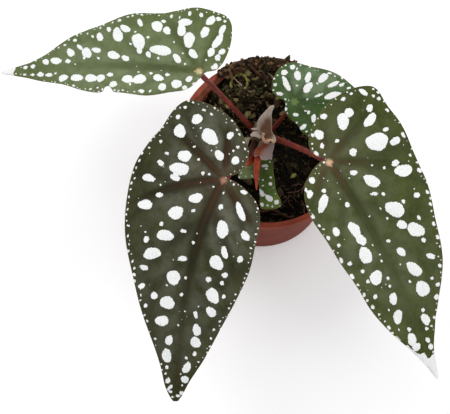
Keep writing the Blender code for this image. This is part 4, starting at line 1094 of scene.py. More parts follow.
def revolve(profile, sides):
    """Turn a profile of (radius, height) whose two ends lie on the axis."""
    points = [(0.0, 0.0, profile[0][1]), (0.0, 0.0, profile[-1][1])]
    rings = []
    for radius, height in profile[1:-1]:
        ring = []
        for side in range(sides):
            angle = tau * side / sides
            ring.append(len(points))
            points.append((radius * cos(angle), radius * sin(angle), height))
        rings.append(ring)
    faces = []
    for side in range(sides):
        after = (side + 1) % sides
        faces.append((0, rings[0][after], rings[0][side]))
        faces.append((1, rings[-1][side], rings[-1][after]))
        for low, high in zip(rings, rings[1:]):
            faces.append((low[side], low[after], high[after], high[side]))
    return points, faces


def arc(middle, radius, start, end, steps):
    """Points on an arc of a profile, its angles in degrees."""
    angles = [radians(start + (end - start) * step / steps) for step in range(steps + 1)]
    return [(middle[0] + radius * cos(angle), middle[1] + radius * sin(angle)) for angle in angles]


def thick_sheet(top, bottom, triangles):
    """Close a sheet of triangles, alike on both faces, with an edge all round."""
    count = len(top)
    points = np.concatenate((top, bottom))
    faces = [tuple(face) for face in triangles]
    faces += [(c + count, b + count, a + count) for a, b, c in triangles]
    directed = set()
    for a, b, c in triangles:
        directed.update(((a, b), (b, c), (c, a)))
    for a, b in sorted(directed):
        if (b, a) not in directed:
            faces.append((b, a, a + count))
            faces.append((b, a + count, b + count))
    return points, faces


def bezier(start, middle, end, steps):
    """Points on a curve that leaves the start towards the middle point."""
    shares = [step / steps for step in range(steps + 1)]
    return [start * (1 - t) ** 2 + middle * 2 * t * (1 - t) + end * t * t for t in shares]


def compass(degrees):
    """The level direction at a number of degrees round from +X."""
    angle = radians(degrees)
    return Vector((cos(angle), sin(angle), 0.0))


def on_cane(direction, height):
    """A point beside the cane, clear of its rings."""
    return Vector((CANE_X, CANE_Y, height)) + compass(direction) * (CANE_RADIUS + CANE_RING_RISE + CLEAR)


def make_stem(name, path, radii, material, sides, lumps, lump_scale):
    """A round stem along a path in millimetres, by the stem tree."""
    edges = [(index, index + 1) for index in range(len(path) - 1)]
    obj = add_object(name, path, [], None, edges)
    store(obj.data, "thickness", np.array(radii) * MM)
    settings = {"Sides": sides, "Lumps": lumps * MM, "Lump Scale": lump_scale, "Material": material}
    return apply_tree(obj, shared("Round stem", build_stem_tree), settings)


# The pot


def inner_radius(height):
    """The pot's inside radius at a height."""
    return BASE_RADIUS + (RIM_RADIUS - LIP_WIDTH - BASE_RADIUS) * height / POT_HEIGHT - WALL


def make_pot(settings):
    """The pot: a tapered wall, a rolled lip, a stacking step and drain holes."""
    lip_foot = POT_HEIGHT - LIP_HEIGHT
    lip_in = inner_radius(POT_HEIGHT - LIP_ROUND)
    half_top = 0.5 * (RIM_RADIUS - lip_in)
    profile = [(0.0, 0.6), (20.0, 0.6), (21.0, 0.0), (DRAIN_CIRCLE, 0.0)]
    profile += arc((BASE_RADIUS - FOOT_ROUND, FOOT_ROUND), FOOT_ROUND, -90.0, -3.0, 8)
    profile += [(inner_radius(height) + WALL, height) for height in np.linspace(4.0, lip_foot - 0.8, 24)]
    profile += arc((RIM_RADIUS - 0.6, lip_foot + 0.6), 0.6, -90.0, 0.0, 5)
    profile.append((RIM_RADIUS, 0.5 * (lip_foot + POT_HEIGHT)))
    profile += [
        (lip_in + half_top + half_top * cos(angle), POT_HEIGHT - LIP_ROUND + LIP_ROUND * sin(angle))
        for angle in np.linspace(0.0, pi, 13)
    ]
    profile += [(inner_radius(height), height) for height in np.linspace(lip_foot, 5.0, 20)]
    profile += arc((inner_radius(4.0) - FOOT_ROUND, FLOOR + FOOT_ROUND), FOOT_ROUND, 0.0, -90.0, 6)
    profile += [(DRAIN_CIRCLE, FLOOR), (0.0, FLOOR)]
    points, faces = revolve(profile, settings.sides)
    material = pot_material(settings)
    pot = add_object("pot_shell", points, faces, material)
    apply_tree(pot, shared("Perforate", build_perforate_tree), {
        "Holes": settings.drain_count,
        "Circle": DRAIN_CIRCLE * MM,
        "Hole Radius": settings.drain_radius,
        "Depth": 6.0 * FLOOR * MM,
        "Material": material,
    })
    pot.data.shade_smooth()
    pot.data.set_sharp_from_angle(angle=radians(40.0))
    hand_over(pot, "pot_plastic", "pot")


# The soil


def soil_height(x, y):
    """Height of the soil: low at the left and front, heaped up at the back."""
    depth = smooth_step((y - SOIL_BACK_START) / SOIL_BACK_DEPTH)
    width = exp(-((x / SOIL_BACK_HALF_WIDTH) ** 4))
    from_cane = hypot(x - CANE_X, y - CANE_Y)
    mound = SOIL_MOUND * exp(-((from_cane / SOIL_MOUND_RADIUS) ** 2))
    spot = Vector((x, y, 3.0)) / SOIL_BUMP_SIZE
    bumps = SOIL_BUMP * (noise.noise(spot) + 0.5 * noise.noise(spot * 2.1))
    near_wall = smooth_step((inner_radius(POT_HEIGHT) - hypot(x, y)) / SOIL_BUMP_SIZE)
    return SOIL_LEVEL + SOIL_BACK_RISE * depth * width + mound + bumps * near_wall


def soil_crumble(x, y):
    """The small clods on the soil."""
    spot = Vector((x, y, 11.0))
    clods = 0.55 * abs(noise.noise(spot / 2.6)) + 0.35 * abs(noise.noise(spot / 1.3 + Vector((5, 2, 0))))
    return 1.6 * clods - 0.5 + 0.2 * noise.noise(spot * 1.6)


def make_soil(settings):
    """The soil: a fine relief on top, and the pot's taper at its side."""
    radius = inner_radius(SOIL_LEVEL)
    rings = round(radius / settings.step)
    sides = round(tau * 0.62 * radius / settings.step)
    points = [(0.0, 0.0, soil_height(0.0, 0.0))]
    for ring in range(1, rings + 1):
        for side in range(sides):
            angle = tau * (side + 0.5 * (ring % 2)) / sides
            outward = Vector((cos(angle), sin(angle)))
            edge = soil_height(*(outward * radius))
            spot = outward * (inner_radius(edge) - 0.12) * ring / rings
            share = smooth_step((rings - ring) / 3.0)
            height = soil_height(*spot) * share + edge * (1.0 - share)
            points.append((*spot, height + soil_crumble(*spot)))
    top_faces = [(0, 1 + side, 1 + (side + 1) % sides) for side in range(sides)]
    top_faces += staggered_faces(1, rings, sides)
    faces = list(top_faces)
    last = 1 + (rings - 1) * sides
    floor = FLOOR + CLEAR
    for side in range(sides):
        x, y, _ = points[last + side]
        inward = (inner_radius(floor + FOOT_ROUND) - FOOT_ROUND) / hypot(x, y)
        points.append((x * inward, y * inward, floor))
    points.append((0.0, 0.0, floor))
    for side in range(sides):
        after = (side + 1) % sides
        faces.append((last + side, last + sides + side, last + sides + after, last + after))
        faces.append((len(points) - 1, last + sides + after, last + sides + side))
    soil = add_object("soil_bed", points, faces, finish("soil_finish"))
    hand_over(soil, "soil", "soil")
    return points, top_faces


def staggered_faces(first, rings, sides):
    """Triangles between rings of points that are each turned by half a step."""
    faces = []
    for ring in range(rings - 1):
        for side in range(sides):
            after = (side + 1) % sides
            low = first + ring * sides
            high = low + sides
            if ring % 2:
                faces.append((low + side, high + side, low + after))
                faces.append((low + after, high + side, high + after))
            else:
                faces.append((low + side, high + side, high + after))
                faces.append((low + side, high + after, low + after))
    return faces


def small_shape(name, kind):
    """A small shape to strew: a crumb, a chip, a fibre, or a moss leaflet, 1 mm in size.

    The places of its points are given in millimetres.
    """
    draw = random.Random(5)
    points = []
    if kind == "fibre":
        steps = 9
        for step in range(steps + 1):
            share = step / steps - 0.5
            for side in range(3):
                angle = tau * side / 3
                thick = 0.028 * (1.0 - 1.5 * share * share)
                bow = 0.3 * share * share
                points.append((share, bow + thick * cos(angle), 0.04 + thick * sin(angle)))
        faces = [(2, 1, 0), (3 * steps, 3 * steps + 1, 3 * steps + 2)]
        for low in range(0, 3 * steps, 3):
            for side in range(3):
                after = (side + 1) % 3
                faces.append((low + side, low + after, low + 3 + after, low + 3 + side))
        return add_object(name, points, faces)
    if kind == "leaflet":
        points = [
            (0, 0, 0), (0.45, 0.2, 0.12), (1, 0, 0.3), (0.45, -0.2, 0.12), (0.45, 0, 0.02), (0.45, 0, -0.06),
        ]
        faces = [(0, 4, 1), (1, 4, 2), (2, 4, 3), (3, 4, 0), (0, 1, 5), (1, 2, 5), (2, 3, 5), (3, 0, 5)]
        return add_object(name, points, faces)
    flat = {"crumb": (0.8, 1.0, 0.75), "chip": (1.2, 0.55, 0.16), "grit": (1.0, 0.9, 0.85)}[kind]
    for ring, (height, radius) in enumerate(((-0.5, 0.28), (-0.2, 0.5), (0.22, 0.46), (0.5, 0.22))):
        for side in range(6):
            angle = tau * (side + 0.5 * (ring % 2)) / 6
            wide = radius * draw.uniform(0.75, 1.2)
            points.append((wide * cos(angle) * flat[0], wide * sin(angle) * flat[1],
                           (height + draw.uniform(-0.08, 0.08)) * flat[2]))
    faces = [tuple(range(5, -1, -1)), tuple(range(18, 24))]
    faces += [face[::-1] for face in staggered_faces(0, 4, 6)]
    return add_object(name, points, faces)


def strew(name, ground, where, crumbs):
    """Strew one kind of loose bits over a ground, thick where asked, and hand it over."""
    bits = LOOSE[name]
    shape = small_shape("shape_" + bits.kind, bits.kind)
    obj = new_object(name, ground.data.copy())
    store(obj.data, "heap", where)
    apply_tree(obj, shared("Strew", build_scatter_tree), {
        "Shape": shape, "Material": finish(bits.finish), "Per Square Metre": crumbs * bits.share,
        "Smallest": bits.smallest, "Largest": bits.largest, "Tilt": bits.tilt, "Lift": bits.lift,
        "Ruffle": bits.ruffle, "Ruffle Scale": bits.ruffle_scale, "Seed": bits.seed,
    })
    bpy.data.objects.remove(shape)
    if bits.kind in ("fibre", "leaflet"):
        obj.data.shade_smooth()
    else:
        obj.data.shade_flat()
    hand_over(obj, bits.slot)


def blotches(across, up, rows):
    """The summed strength of soft round blotches, each given by place, reach and strength."""
    total = np.zeros(len(across))
    for middle_across, middle_up, reach, strength in rows:
        apart = (across - middle_across) ** 2 + (up - middle_up) ** 2
        total += strength * np.exp(-(apart / reach ** 2))
    return total


def make_litter(settings, points, faces):
    """Peat crumbs, bark chips, roots, moss and grit strewn on the soil."""
    ground = add_object("ground", points, faces)
    x, y, z = np.array(points).T
    from_cane = np.hypot(x - CANE_X, y - CANE_Y)
    free = (from_cane > CANE_RADIUS + 2.0) * (np.hypot(x, y) < inner_radius(SOIL_LEVEL) - 1.5)
    even = (0.5 + 0.9 * smooth_step((z - 72.0) / 12.0)) * free
    thick = {
        "root_fibres": (0.3 + blotches(x, y, ((14.0, -37.0, 15.0, 1.0),))) * free,
        "moss_wisps": (0.12 + blotches(x, y, ((-18.0, 34.0, 13.0, 1.5),))) * free,
    }
    for name in SOIL_LITTER:
        strew(name, ground, thick.get(name, even), settings.crumbs)
    bpy.data.objects.remove(ground)
    flake = small_shape("pale_flake", "chip")
    flake.data.materials.append(finish("flake_finish"))
    x, y = FLAKE_PLACE
    for vertex in flake.data.vertices:
        along, across, height = vertex.co / MM
        spot = compass(FLAKE_TURN) * along * FLAKE_SIZE[0]
        spot += compass(FLAKE_TURN + 90.0) * across * FLAKE_SIZE[1]
        spot += Vector((x, y, soil_height(x, y) + FLAKE_LIFT + height * FLAKE_SIZE[1]))
        vertex.co = spot * MM
    hand_over(flake, "litter")


# The cane, the stalks and the crown


def make_cane():
    """The cane, with its leaf scars as rings."""
    path = []
    radii = []
    straight_top = CANE_TOP - CANE_DOME
    for height in np.arange(CANE_FOOT, straight_top, 0.5):
        radius = CANE_RADIUS
        for ring in CANE_RING_HEIGHTS:
            radius += CANE_RING_RISE * exp(-(((height - ring) / CANE_RING_WIDTH) ** 2))
        path.append((CANE_X, CANE_Y, height))
        radii.append(radius)
    widths, rises = zip(*CANE_DOME_SHAPE)
    for rise in np.linspace(0.0, 0.98, 24):
        path.append((CANE_X, CANE_Y, straight_top + CANE_DOME * rise))
        radii.append(CANE_RADIUS * float(np.interp(rise, rises, widths)))
    cane = make_stem("cane_stem", path, radii, finish("cane_finish"), 48, 0.35, 260.0)
    hand_over(cane, "cane", "cane")


def midrib_frames(blade):
    """Point, right and up at each millimetre of the midrib, as arrays."""
    last = int(blade.length) + MIDRIB_SPARE
    rows = {}
    for direction in (1, -1):
        here = Vector(blade.attach)
        distance = 0
        while MIDRIB_FIRST <= distance <= last:
            share = min(1.0, max(0.0, distance / blade.length))
            turn = radians(blade.heading + blade.sweep * (1.0 - (1.0 - share) ** 2))
            climb = radians(blade.pitch - blade.droop * share)
            level = cos(climb)
            forward = Vector((cos(turn) * level, sin(turn) * level, sin(climb)))
            right = Vector((sin(turn), -cos(turn), 0.0))
            up = right.cross(forward)
            roll = radians(blade.roll)
            tilted_right = right * cos(roll) + up * sin(roll)
            tilted_up = up * cos(roll) - right * sin(roll)
            rows[distance] = (here.copy(), tilted_right, tilted_up)
            here += forward * direction
            distance += direction
    ordered = [rows[distance] for distance in range(MIDRIB_FIRST, last + 1)]
    return [np.array([row[part] for row in ordered]) for part in range(3)]


def place_on_blade(blade, frames, along, out, raised=0.0):
    """Place spots of the flat blade, given as arrays, in the model."""
    below = np.floor(along).astype(int)
    share = (along - below)[:, None]
    index = np.clip(below - MIDRIB_FIRST, 0, len(frames[0]) - 2)
    middle, right, up = (row[index] * (1.0 - share) + row[index + 1] * share for row in frames)
    side = out * blade.broad_side
    slope = tan(radians(blade.lift))
    rise = slope * (np.hypot(side, MIDRIB_SOFTNESS) - MIDRIB_SOFTNESS)
    rise = rise - blade.curl * side * side / 1000.0 + raised
    return middle + right * side[:, None] + up * rise[:, None]


def blade_normals(blade, frames, along, out):
    """The directions that the blade's upper face looks in."""
    step = 0.5
    forward = place_on_blade(blade, frames, along + step, out)
    forward -= place_on_blade(blade, frames, along - step, out)
    across = place_on_blade(blade, frames, along, out + step * blade.broad_side)
    across -= place_on_blade(blade, frames, along, out - step * blade.broad_side)
    normals = np.cross(across, forward)
    return normals / np.linalg.norm(normals, axis=1)[:, None]


def make_stalk(name, stalk, blade, material):
    """A leaf's stalk, from the cane up to the underside of its blade."""
    outward = compass(stalk.direction)
    foot = on_cane(stalk.direction, stalk.height)
    frames = midrib_frames(blade)
    spot = np.array([0.5]), np.array([0.0])
    normal = Vector(blade_normals(blade, frames, *spot)[0])
    under = Vector(place_on_blade(blade, frames, *spot)[0]) - normal * (SOLID_THICKNESS * 0.5 + CLEAR)
    lowest = (under - foot).normalized()
    bend = foot + (under - foot) * STALK_BEND_AT + (outward - lowest * outward.dot(lowest)) * stalk.bow
    path = list(bezier(foot - outward * 1.1, bend, under, 60))
    path.append(path[-1] + (path[-1] - path[-2]).normalized() * 2.5)
    radii = []
    for step in range(len(path)):
        share = step / (len(path) - 1)
        swell = exp(-share * STALK_SWELL_FADE) + 0.35 * exp(-(share / 0.02) ** 2)
        radius = STALK_RADIUS + (STALK_FOOT_RADIUS - STALK_RADIUS) * swell
        radii.append(0.85 * radius * stalk.size)
    piece = make_stem(name.replace("petiole", "stalk"), path, radii, material, 24, 0.22, 180.0)
    spots = np.array([vertex.co for vertex in piece.data.vertices]) / MM
    over = np.maximum((spots - np.array(under)) @ np.array(normal) - 0.2, 0.0)
    over *= np.linalg.norm(spots - np.array(under), axis=1) < 8.0
    spots -= over[:, None] * np.array(normal)
    piece.data.vertices.foreach_set("co", (spots * MM).ravel())
    hand_over(piece, "stalk", name)


def paper_material(name, pale, brown):
    """Dry papery skin: pale, with brown patches, fibres along it and a light edge."""
    material, nodes = new_material(name)
    place = nodes.carried("grain", "Vector")
    streaks = nodes.cloud(nodes.arrow("MULTIPLY", place, (0.16, 1, 1)), 2.2, 5, 0.65)
    share = nodes.plus(nodes.carried("brown"), nodes.fade(streaks, 0.3, 0.7, -0.3, 0.35), clamp=True)
    edge = nodes.fade(nodes.carried("rim"), 0, 0.4, 0.45, 0)
    light_edge = nodes.mix(0.5, linear(*pale), (1, 0.9, 0.8))
    colour = nodes.mix(edge, nodes.mix(share, linear(*pale), linear(*brown)), light_edge)
    return surface(material, nodes, colour, 0.8, streaks, 0.16, 0.25)


def bent_sheet(blade, spots, triangles, raised, above, below):
    """Bend a flat sheet to its blade, with its thickness above and below, and close it."""
    frames = midrib_frames(blade)
    middle = place_on_blade(blade, frames, *spots.T, raised)
    normals = blade_normals(blade, frames, *spots.T)
    return thick_sheet(middle + normals * above[:, None], middle - normals * below[:, None], triangles)


def make_paper(name, node, material):
    """A papery stipule: a thin sheet with creases along it and a slightly torn edge."""
    blade = PAPERS[node]
    rim = even_outline(blade.outline, 0.3)
    centre = rim.mean(axis=0)
    rim = centre + (rim - centre) * (1.0 - 0.06 * np.abs(flat_noise(rim, 1.3, 1.3, 7.0)))[:, None]
    spots, triangles = fill_outline(blade, rim, (), 0.38)
    along, out = spots.T
    rim_gap = gap_to_line(spots, rim)
    creases = flat_noise(spots, 0.12, 0.9, 3.0)
    raised = cad_relief(blade, along, out, rim_gap) + 0.3 * creases + 0.2 * flat_noise(spots, 0.5, 0.5, 9.0)
    half = 0.07 + 0.05 * smooth_step(rim_gap / 0.8)
    points, faces = bent_sheet(blade, spots, triangles, raised, half, half)
    piece = add_object(name, points, faces, material)
    brown = blotches(along, out, BROWNS[node])
    grain = np.column_stack((along, out * 2.2, creases))
    store_twice(piece.data, grain=grain, brown=brown, rim=rim_gap)
    hand_over(piece, "paper", node)


def make_ridge(material):
    """The rolled edge along the front of the back stipule."""
    blade = PAPERS["stipule_back"]
    rim = even_outline(blade.outline, RIDGE_SPACING)
    line = even_outline(RIDGE + RIDGE[-2:0:-1], RIDGE_SPACING)
    line = line[:len(line) // 2]
    raised = cad_relief(blade, line[:, 0], line[:, 1], gap_to_line(line, rim))
    raised += PAPER_THICKNESS * 0.5 + CLEAR + RIDGE_RADIUS - 0.15
    path = place_on_blade(blade, midrib_frames(blade), line[:, 0], line[:, 1], raised)
    radii = [RIDGE_RADIUS * (1.5 + 0.4 * sin(step * 0.75)) for step in range(len(path))]
    piece = make_stem("paper_ridge", path, radii, material, 12, 0.3, 700.0)
    hand_over(piece, "paper", "stipule_ridge")


def make_sheath(name, sheath, material):
    """A pointed sheath of new growth, from the cane out to its tip."""
    base = on_cane(sheath.direction, sheath.height)
    tip = Vector(sheath.tip)
    bend = Vector(sheath.halfway) * 2.0 - (base + tip) * 0.5
    path = bezier(base - compass(sheath.direction) * 0.9, bend, tip, 48)
    radii = []
    for step in range(len(path)):
        phase = (SHEATH_SWELL_START + SHEATH_SWELL_SPAN * step / (len(path) - 1)) ** SHEATH_SWELL_LEAN
        radii.append(sheath.radius * sin(pi * phase) + SHEATH_TIP_RADIUS)
    piece = make_stem("red_" + name, path, radii, material, 20, 0.35, 320.0)
    hand_over(piece, "sheath", name)


def make_crown():
    """The papery stipules and red sheaths round the cane."""
    pale = paper_material("paper_finish", (0.70, 0.65, 0.60), (0.36, 0.25, 0.17))
    cream = paper_material("cream_finish", (0.70, 0.66, 0.54), (0.45, 0.35, 0.24))
    rusty = paper_material("rusty_finish", (0.60, 0.54, 0.52), (0.56, 0.27, 0.12))
    make_paper("paper_back", "stipule_back", pale)
    make_paper("paper_tip", "stipule_tip", pale)
    make_paper("paper_front", "stipule_front", rusty)
    make_paper("paper_side", "stipule_side", cream)
    make_ridge(finish("ridge_finish"))
    make_sheath("sheath_long", SHEATHS["sheath_long"], finish("coral_finish"))
    make_sheath("sheath_short", SHEATHS["sheath_short"], finish("rust_finish"))


def lie_on_soil(spots, radius):
    """Lift a line of (x, y) spots so that a strand of this radius lies on the soil."""
    path = []
    for x, y in spots:
        heights = [
            soil_height(x + step_x, y + step_y)
            for step_x in (-radius, 0.0, radius)
            for step_y in (-radius, 0.0, radius)
        ]
        path.append(Vector((x, y, max(heights) + radius + CLEAR + 0.25)))
    return path


def make_strands():
    """The long strand of moss and the root that lie across the soil."""
    spots = []
    for step in range(91):
        turn = compass(MOSS_START + (MOSS_END - MOSS_START) * step / 90.0)
        spots.append((MOSS_MIDDLE[0] + MOSS_REACH[0] * turn.x, MOSS_MIDDLE[1] + MOSS_REACH[1] * turn.y))
    path = lie_on_soil(spots, MOSS_RADIUS)
    radii = [0.75 + 0.15 * sin(0.6 * step) for step in range(len(path))]
    strand = make_stem("moss_core", path, radii, finish("strand_finish"), 8, 0.3, 400.0)
    strew("moss_leaflets", strand, np.ones(len(strand.data.vertices)), MOSS_LEAFLETS)
    hand_over(strand, "moss", "moss_strand")

    steps = 60
    start = Vector(ROOT_START)
    line = [start.lerp(Vector(ROOT_END), step / steps) for step in range(steps + 1)]
    path = lie_on_soil([(x, y + ROOT_WINDING * sin(ROOT_TURNS * x)) for x, y in line], ROOT_RADIUS)
    radii = [ROOT_RADIUS - ROOT_TAPER * step / steps for step in range(steps + 1)]
    root = make_stem("root_front", path, radii, finish("twig_finish"), 12, 0.7, 350.0)
    hand_over(root, "litter", "twig_front")


def make_slivers():
    """Long bits of bark that lie across the soil at the back."""
    for index, (start, middle, end, radius) in enumerate(SLIVERS):
        bend = Vector(middle) * 2.0 - (Vector(start) + Vector(end)) * 0.5
        path = bezier(Vector(start), bend, Vector(end), 30)
        phases = [pi * (0.12 + 0.76 * step / 30.0) for step in range(31)]
        radii = [radius * (0.25 + 0.75 * sin(phase)) for phase in phases]
        sliver = make_stem("bark_sliver_%d" % index, path, radii, finish("sliver_finish"), 10, 0.8, 500.0)
        hand_over(sliver, "litter")


def make_heap(settings):
    """The bark and soil heaped over the back of the lip."""
    directions, rises = zip(*HEAP_CREST)
    top = []
    bottom = []
    for degrees in np.linspace(directions[0], directions[-1], HEAP_STEPS + 1):
        end = min(degrees - directions[0], directions[-1] - degrees)
        share = HEAP_END_WIDTH + (1.0 - HEAP_END_WIDTH) * smooth_step(end / HEAP_TAPER)
        width = (HEAP_RADII[1] - HEAP_RADII[0]) * share
        for across in np.linspace(0.0, 1.0, HEAP_COLUMNS):
            spot = compass(degrees) * (0.5 * (HEAP_RADII[0] + HEAP_RADII[1]) + width * (across - 0.5))
            swell = sin(pi * across)
            bump = HEAP_BUMP * noise.noise(spot / HEAP_BUMP_SIZE)
            crumble = 0.7 * noise.noise(spot * 0.9) + 0.35 * noise.noise(spot * 2.3)
            height = HEAP_EDGE + swell * (float(np.interp(degrees, directions, rises)) + bump + crumble)
            low = spot + Vector((0.0, 0.0, POT_HEIGHT + 0.05))
            bottom.append(low)
            top.append(low + Vector((0.0, 0.0, max(0.1, height + CLEAR))))
    triangles = []
    for step in range(HEAP_STEPS):
        for a in range(step * HEAP_COLUMNS, (step + 1) * HEAP_COLUMNS - 1):
            triangles.append((a, a + 1 + HEAP_COLUMNS, a + 1))
            triangles.append((a, a + HEAP_COLUMNS, a + 1 + HEAP_COLUMNS))
    points, faces = thick_sheet(np.array(top), np.array(bottom), triangles)
    heap = add_object("bark_back", points, faces, finish("heap_finish"))
    upper = np.arange(len(points)) < len(top)
    for name in ("heap_crumbs", "heap_chips"):
        strew(name, heap, upper, settings.crumbs)
    hand_over(heap, "litter", "bark_heap")


# The blades


def even_outline(points, spacing):
    """A smooth closed curve through the outline's points, in even steps."""
    fine = []
    count = len(points)
    for index in range(count):
        before, start, end, after = (np.array(points[(index + k) % count], float) for k in (-1, 0, 1, 2))
        for t in np.arange(0.0, 1.0, 1.0 / 24.0):
            curve = start * 2.0 + (end - before) * t
            curve += (before * 2.0 - start * 5.0 + end * 4.0 - after) * t * t
            curve += (start * 3.0 - before - end * 3.0 + after) * t ** 3
            fine.append(curve * 0.5)
    fine = np.array(fine + fine[:1])
    lengths = np.concatenate(([0.0], np.cumsum(np.linalg.norm(np.diff(fine, axis=0), axis=1))))
    targets = np.linspace(0.0, lengths[-1], round(lengths[-1] / spacing) + 1)[:-1]
    return np.column_stack([np.interp(targets, lengths, fine[:, part]) for part in (0, 1)])


def gap_to_runs(spots, starts, ends):
    """Distance from each spot to the nearest of some straight runs."""
    nearest = np.full(len(spots), 1000.0)
    for start, end in zip(starts, ends):
        run = end - start
        share = np.clip((spots - start) @ run / max(run @ run, 1e-9), 0.0, 1.0)
        gap = spots - start - share[:, None] * run
        nearest = np.minimum(nearest, np.hypot(gap[:, 0], gap[:, 1]))
    return nearest


def gap_to_line(spots, line, closed=True):
    """Distance from each spot to the nearest point of a line."""
    if closed:
        return gap_to_runs(spots, line, np.roll(line, -1, axis=0))
    return gap_to_runs(spots, line[:-1], line[1:])


def inside(spots, line):
    """Which spots lie inside a closed line."""
    odd = np.zeros(len(spots), bool)
    for (a1, o1), (a2, o2) in zip(line, np.roll(line, -1, axis=0)):
        if o1 != o2:
            crosses = (o1 > spots[:, 1]) != (o2 > spots[:, 1])
            odd ^= crosses & (spots[:, 0] < a1 + (spots[:, 1] - o1) * (a2 - a1) / (o2 - o1))
    return odd


def spot_line(draw, along, out, length, width, turn=0.0):
    """The closed edge of one spot: an oval that isn't quite even."""
    count = max(8, round(pi * (length + width) * 0.5 / 0.85))
    phases = [draw.uniform(0.0, tau) for _ in range(3)]
    tilt = radians(turn)
    line = []
    for step in range(count):
        angle = tau * step / count
        swell = 1.0 + 0.05 * sin(2 * angle + phases[0])
        swell += 0.05 * sin(3 * angle + phases[1]) + 0.025 * sin(5 * angle + phases[2])
        x = 0.5 * length * swell * cos(angle)
        y = 0.5 * width * swell * sin(angle)
        line.append((along + x * cos(tilt) - y * sin(tilt),
                     out + x * sin(tilt) + y * cos(tilt)))
    return np.array(line)


def spot_lines(name, rim, look, draw):
    """The edges of a blade's spots: the large ones, and small dots along the margin."""
    spots = SPOTS[name]
    middles = [spot[:2] for spot in spots]
    sizes = [0.5 * max(spot[2:4]) for spot in spots]
    lines = [spot_line(draw, *spot) for spot in spots]
    if name in SILVER_TIPS:
        lines.append(even_outline(SILVER_TIPS[name], 1.2))

    def try_dot(along, out, size):
        gaps = [hypot(along - a, out - o) - s for (a, o), s in zip(middles, sizes)]
        if min(gaps) > 0.5 * size + 0.6 and inside(np.array([[along, out]]), rim)[0]:
            middles.append((along, out))
            sizes.append(0.5 * size)
            width = size * draw.uniform(0.7, 1.0)
            lines.append(spot_line(draw, along, out, size, width, draw.uniform(0, 180)))

    walk = 0.0
    while walk < len(rim) * RIM_STEP:
        walk += look.margin_gap * draw.uniform(0.5, 1.4)
        index = int(walk / RIM_STEP) % len(rim)
        run = rim[(index + 2) % len(rim)] - rim[index - 2]
        inward = np.array((-run[1], run[0])) / np.hypot(*run)
        if not inside((rim[index] + inward * 0.5)[None, :], rim)[0]:
            inward = -inward
        size = draw.uniform(0.7, 1.9)
        place = rim[index] + inward * (1.9 * draw.random() ** 1.6 + 0.25 * size)
        try_dot(*place, size)
    low = rim.min(axis=0)
    high = rim.max(axis=0)
    for _ in range(look.dots):
        try_dot(draw.uniform(low[0], high[0] * 0.9), draw.uniform(low[1], high[1]), draw.uniform(0.5, 1.3))
    return lines


def outer_runs(index, lines):
    """The runs of one spot's edge that don't lie in another spot, as starts and ends."""
    line = lines[index]
    ends = np.roll(line, -1, axis=0)
    middles = 0.5 * (line + ends)
    free = np.ones(len(line), bool)
    for other, edge in enumerate(lines):
        if other != index:
            near = close_to(middles, edge)
            free[near] &= ~inside(middles[near], edge)
    return line[free], ends[free]


def vein_line(rim, start, angle, bend, least):
    """A vein's path over the flat blade, from its start until near the margin."""
    spots = [np.array(start, float)]
    step = 2.0
    while len(spots) < 90:
        heading = radians(angle)
        ahead = spots[-1] + step * np.array((cos(heading), sin(heading)))
        if not inside(ahead[None, :], rim)[0]:
            break
        spots.append(ahead)
        if abs(angle) > least:
            angle -= copysign(bend * step, angle)
    return np.array(spots)


def vein_lines(blade, rim):
    """A blade's veins, each with its strength: palmate ones, their forks, and side veins."""
    veins = [(np.array(((-1.0, 0.0), (blade.length * 0.97, 0.0))), 1.0)]
    for angle in (57.0, -57.0, 109.0, -109.0, 157.0):
        main = vein_line(rim, (0.0, 0.0), angle, 0.12, 30.0)
        veins.append((main, 0.85))
        for share, turn in ((0.35, 20.0), (0.6, -22.0)):
            index = int(len(main) * share)
            if index > 1:
                veins.append((vein_line(rim, main[index], angle + turn, 0.1, 20.0), 0.45))
    for index, share in enumerate((0.13, 0.2, 0.28, 0.36, 0.43, 0.51, 0.58, 0.66, 0.73, 0.81, 0.88)):
        angle = 44.0 if index % 2 else -44.0
        veins.append((vein_line(rim, (blade.length * share, 0.0), angle, 0.5, 20.0), 0.5))
    return [(line, strength) for line, strength in veins if len(line) > 1]


def cad_relief(blade, along, out, rim_gap):
    """How far the solids raise a spot: pleats between the main veins, and a waved margin."""
    reach = np.hypot(along, out)
    angle = np.arctan2(out, along + PLEAT_LEAN * reach)
    pleat = PLEAT_HEIGHT * np.cos(PLEAT_COUNT * angle) * (1.0 - np.exp(-reach / PLEAT_START))
    pleat *= 1.0 - bell(out / MIDRIB_FLAT)
    margin = bell(rim_gap / WAVE_REACH)
    phase = np.where(out > 0.0, *WAVE_PHASES)
    ripple = np.sin(tau * (along + WAVE_SLANT * np.abs(out)) / WAVE_LENGTH + phase)
    wave = blade.wave * margin * ripple * (1.0 - bell(out / WAVE_FLAT))
    return -pleat * blade.length / PLEAT_LEAF + wave


def close_to(spots, line, reach=0.0):
    """The numbers of the spots that lie in the box round a line, made wider by the reach."""
    low = line.min(axis=0) - reach
    high = line.max(axis=0) + reach
    return np.flatnonzero(np.all((spots > low) & (spots < high), axis=1))


def flat_noise(spots, along_scale, out_scale, layer):
    """Soft random values from -1 to 1 at spots of the flat blade."""
    return np.array([noise.noise(Vector((a * along_scale, o * out_scale, layer))) for a, o in spots])


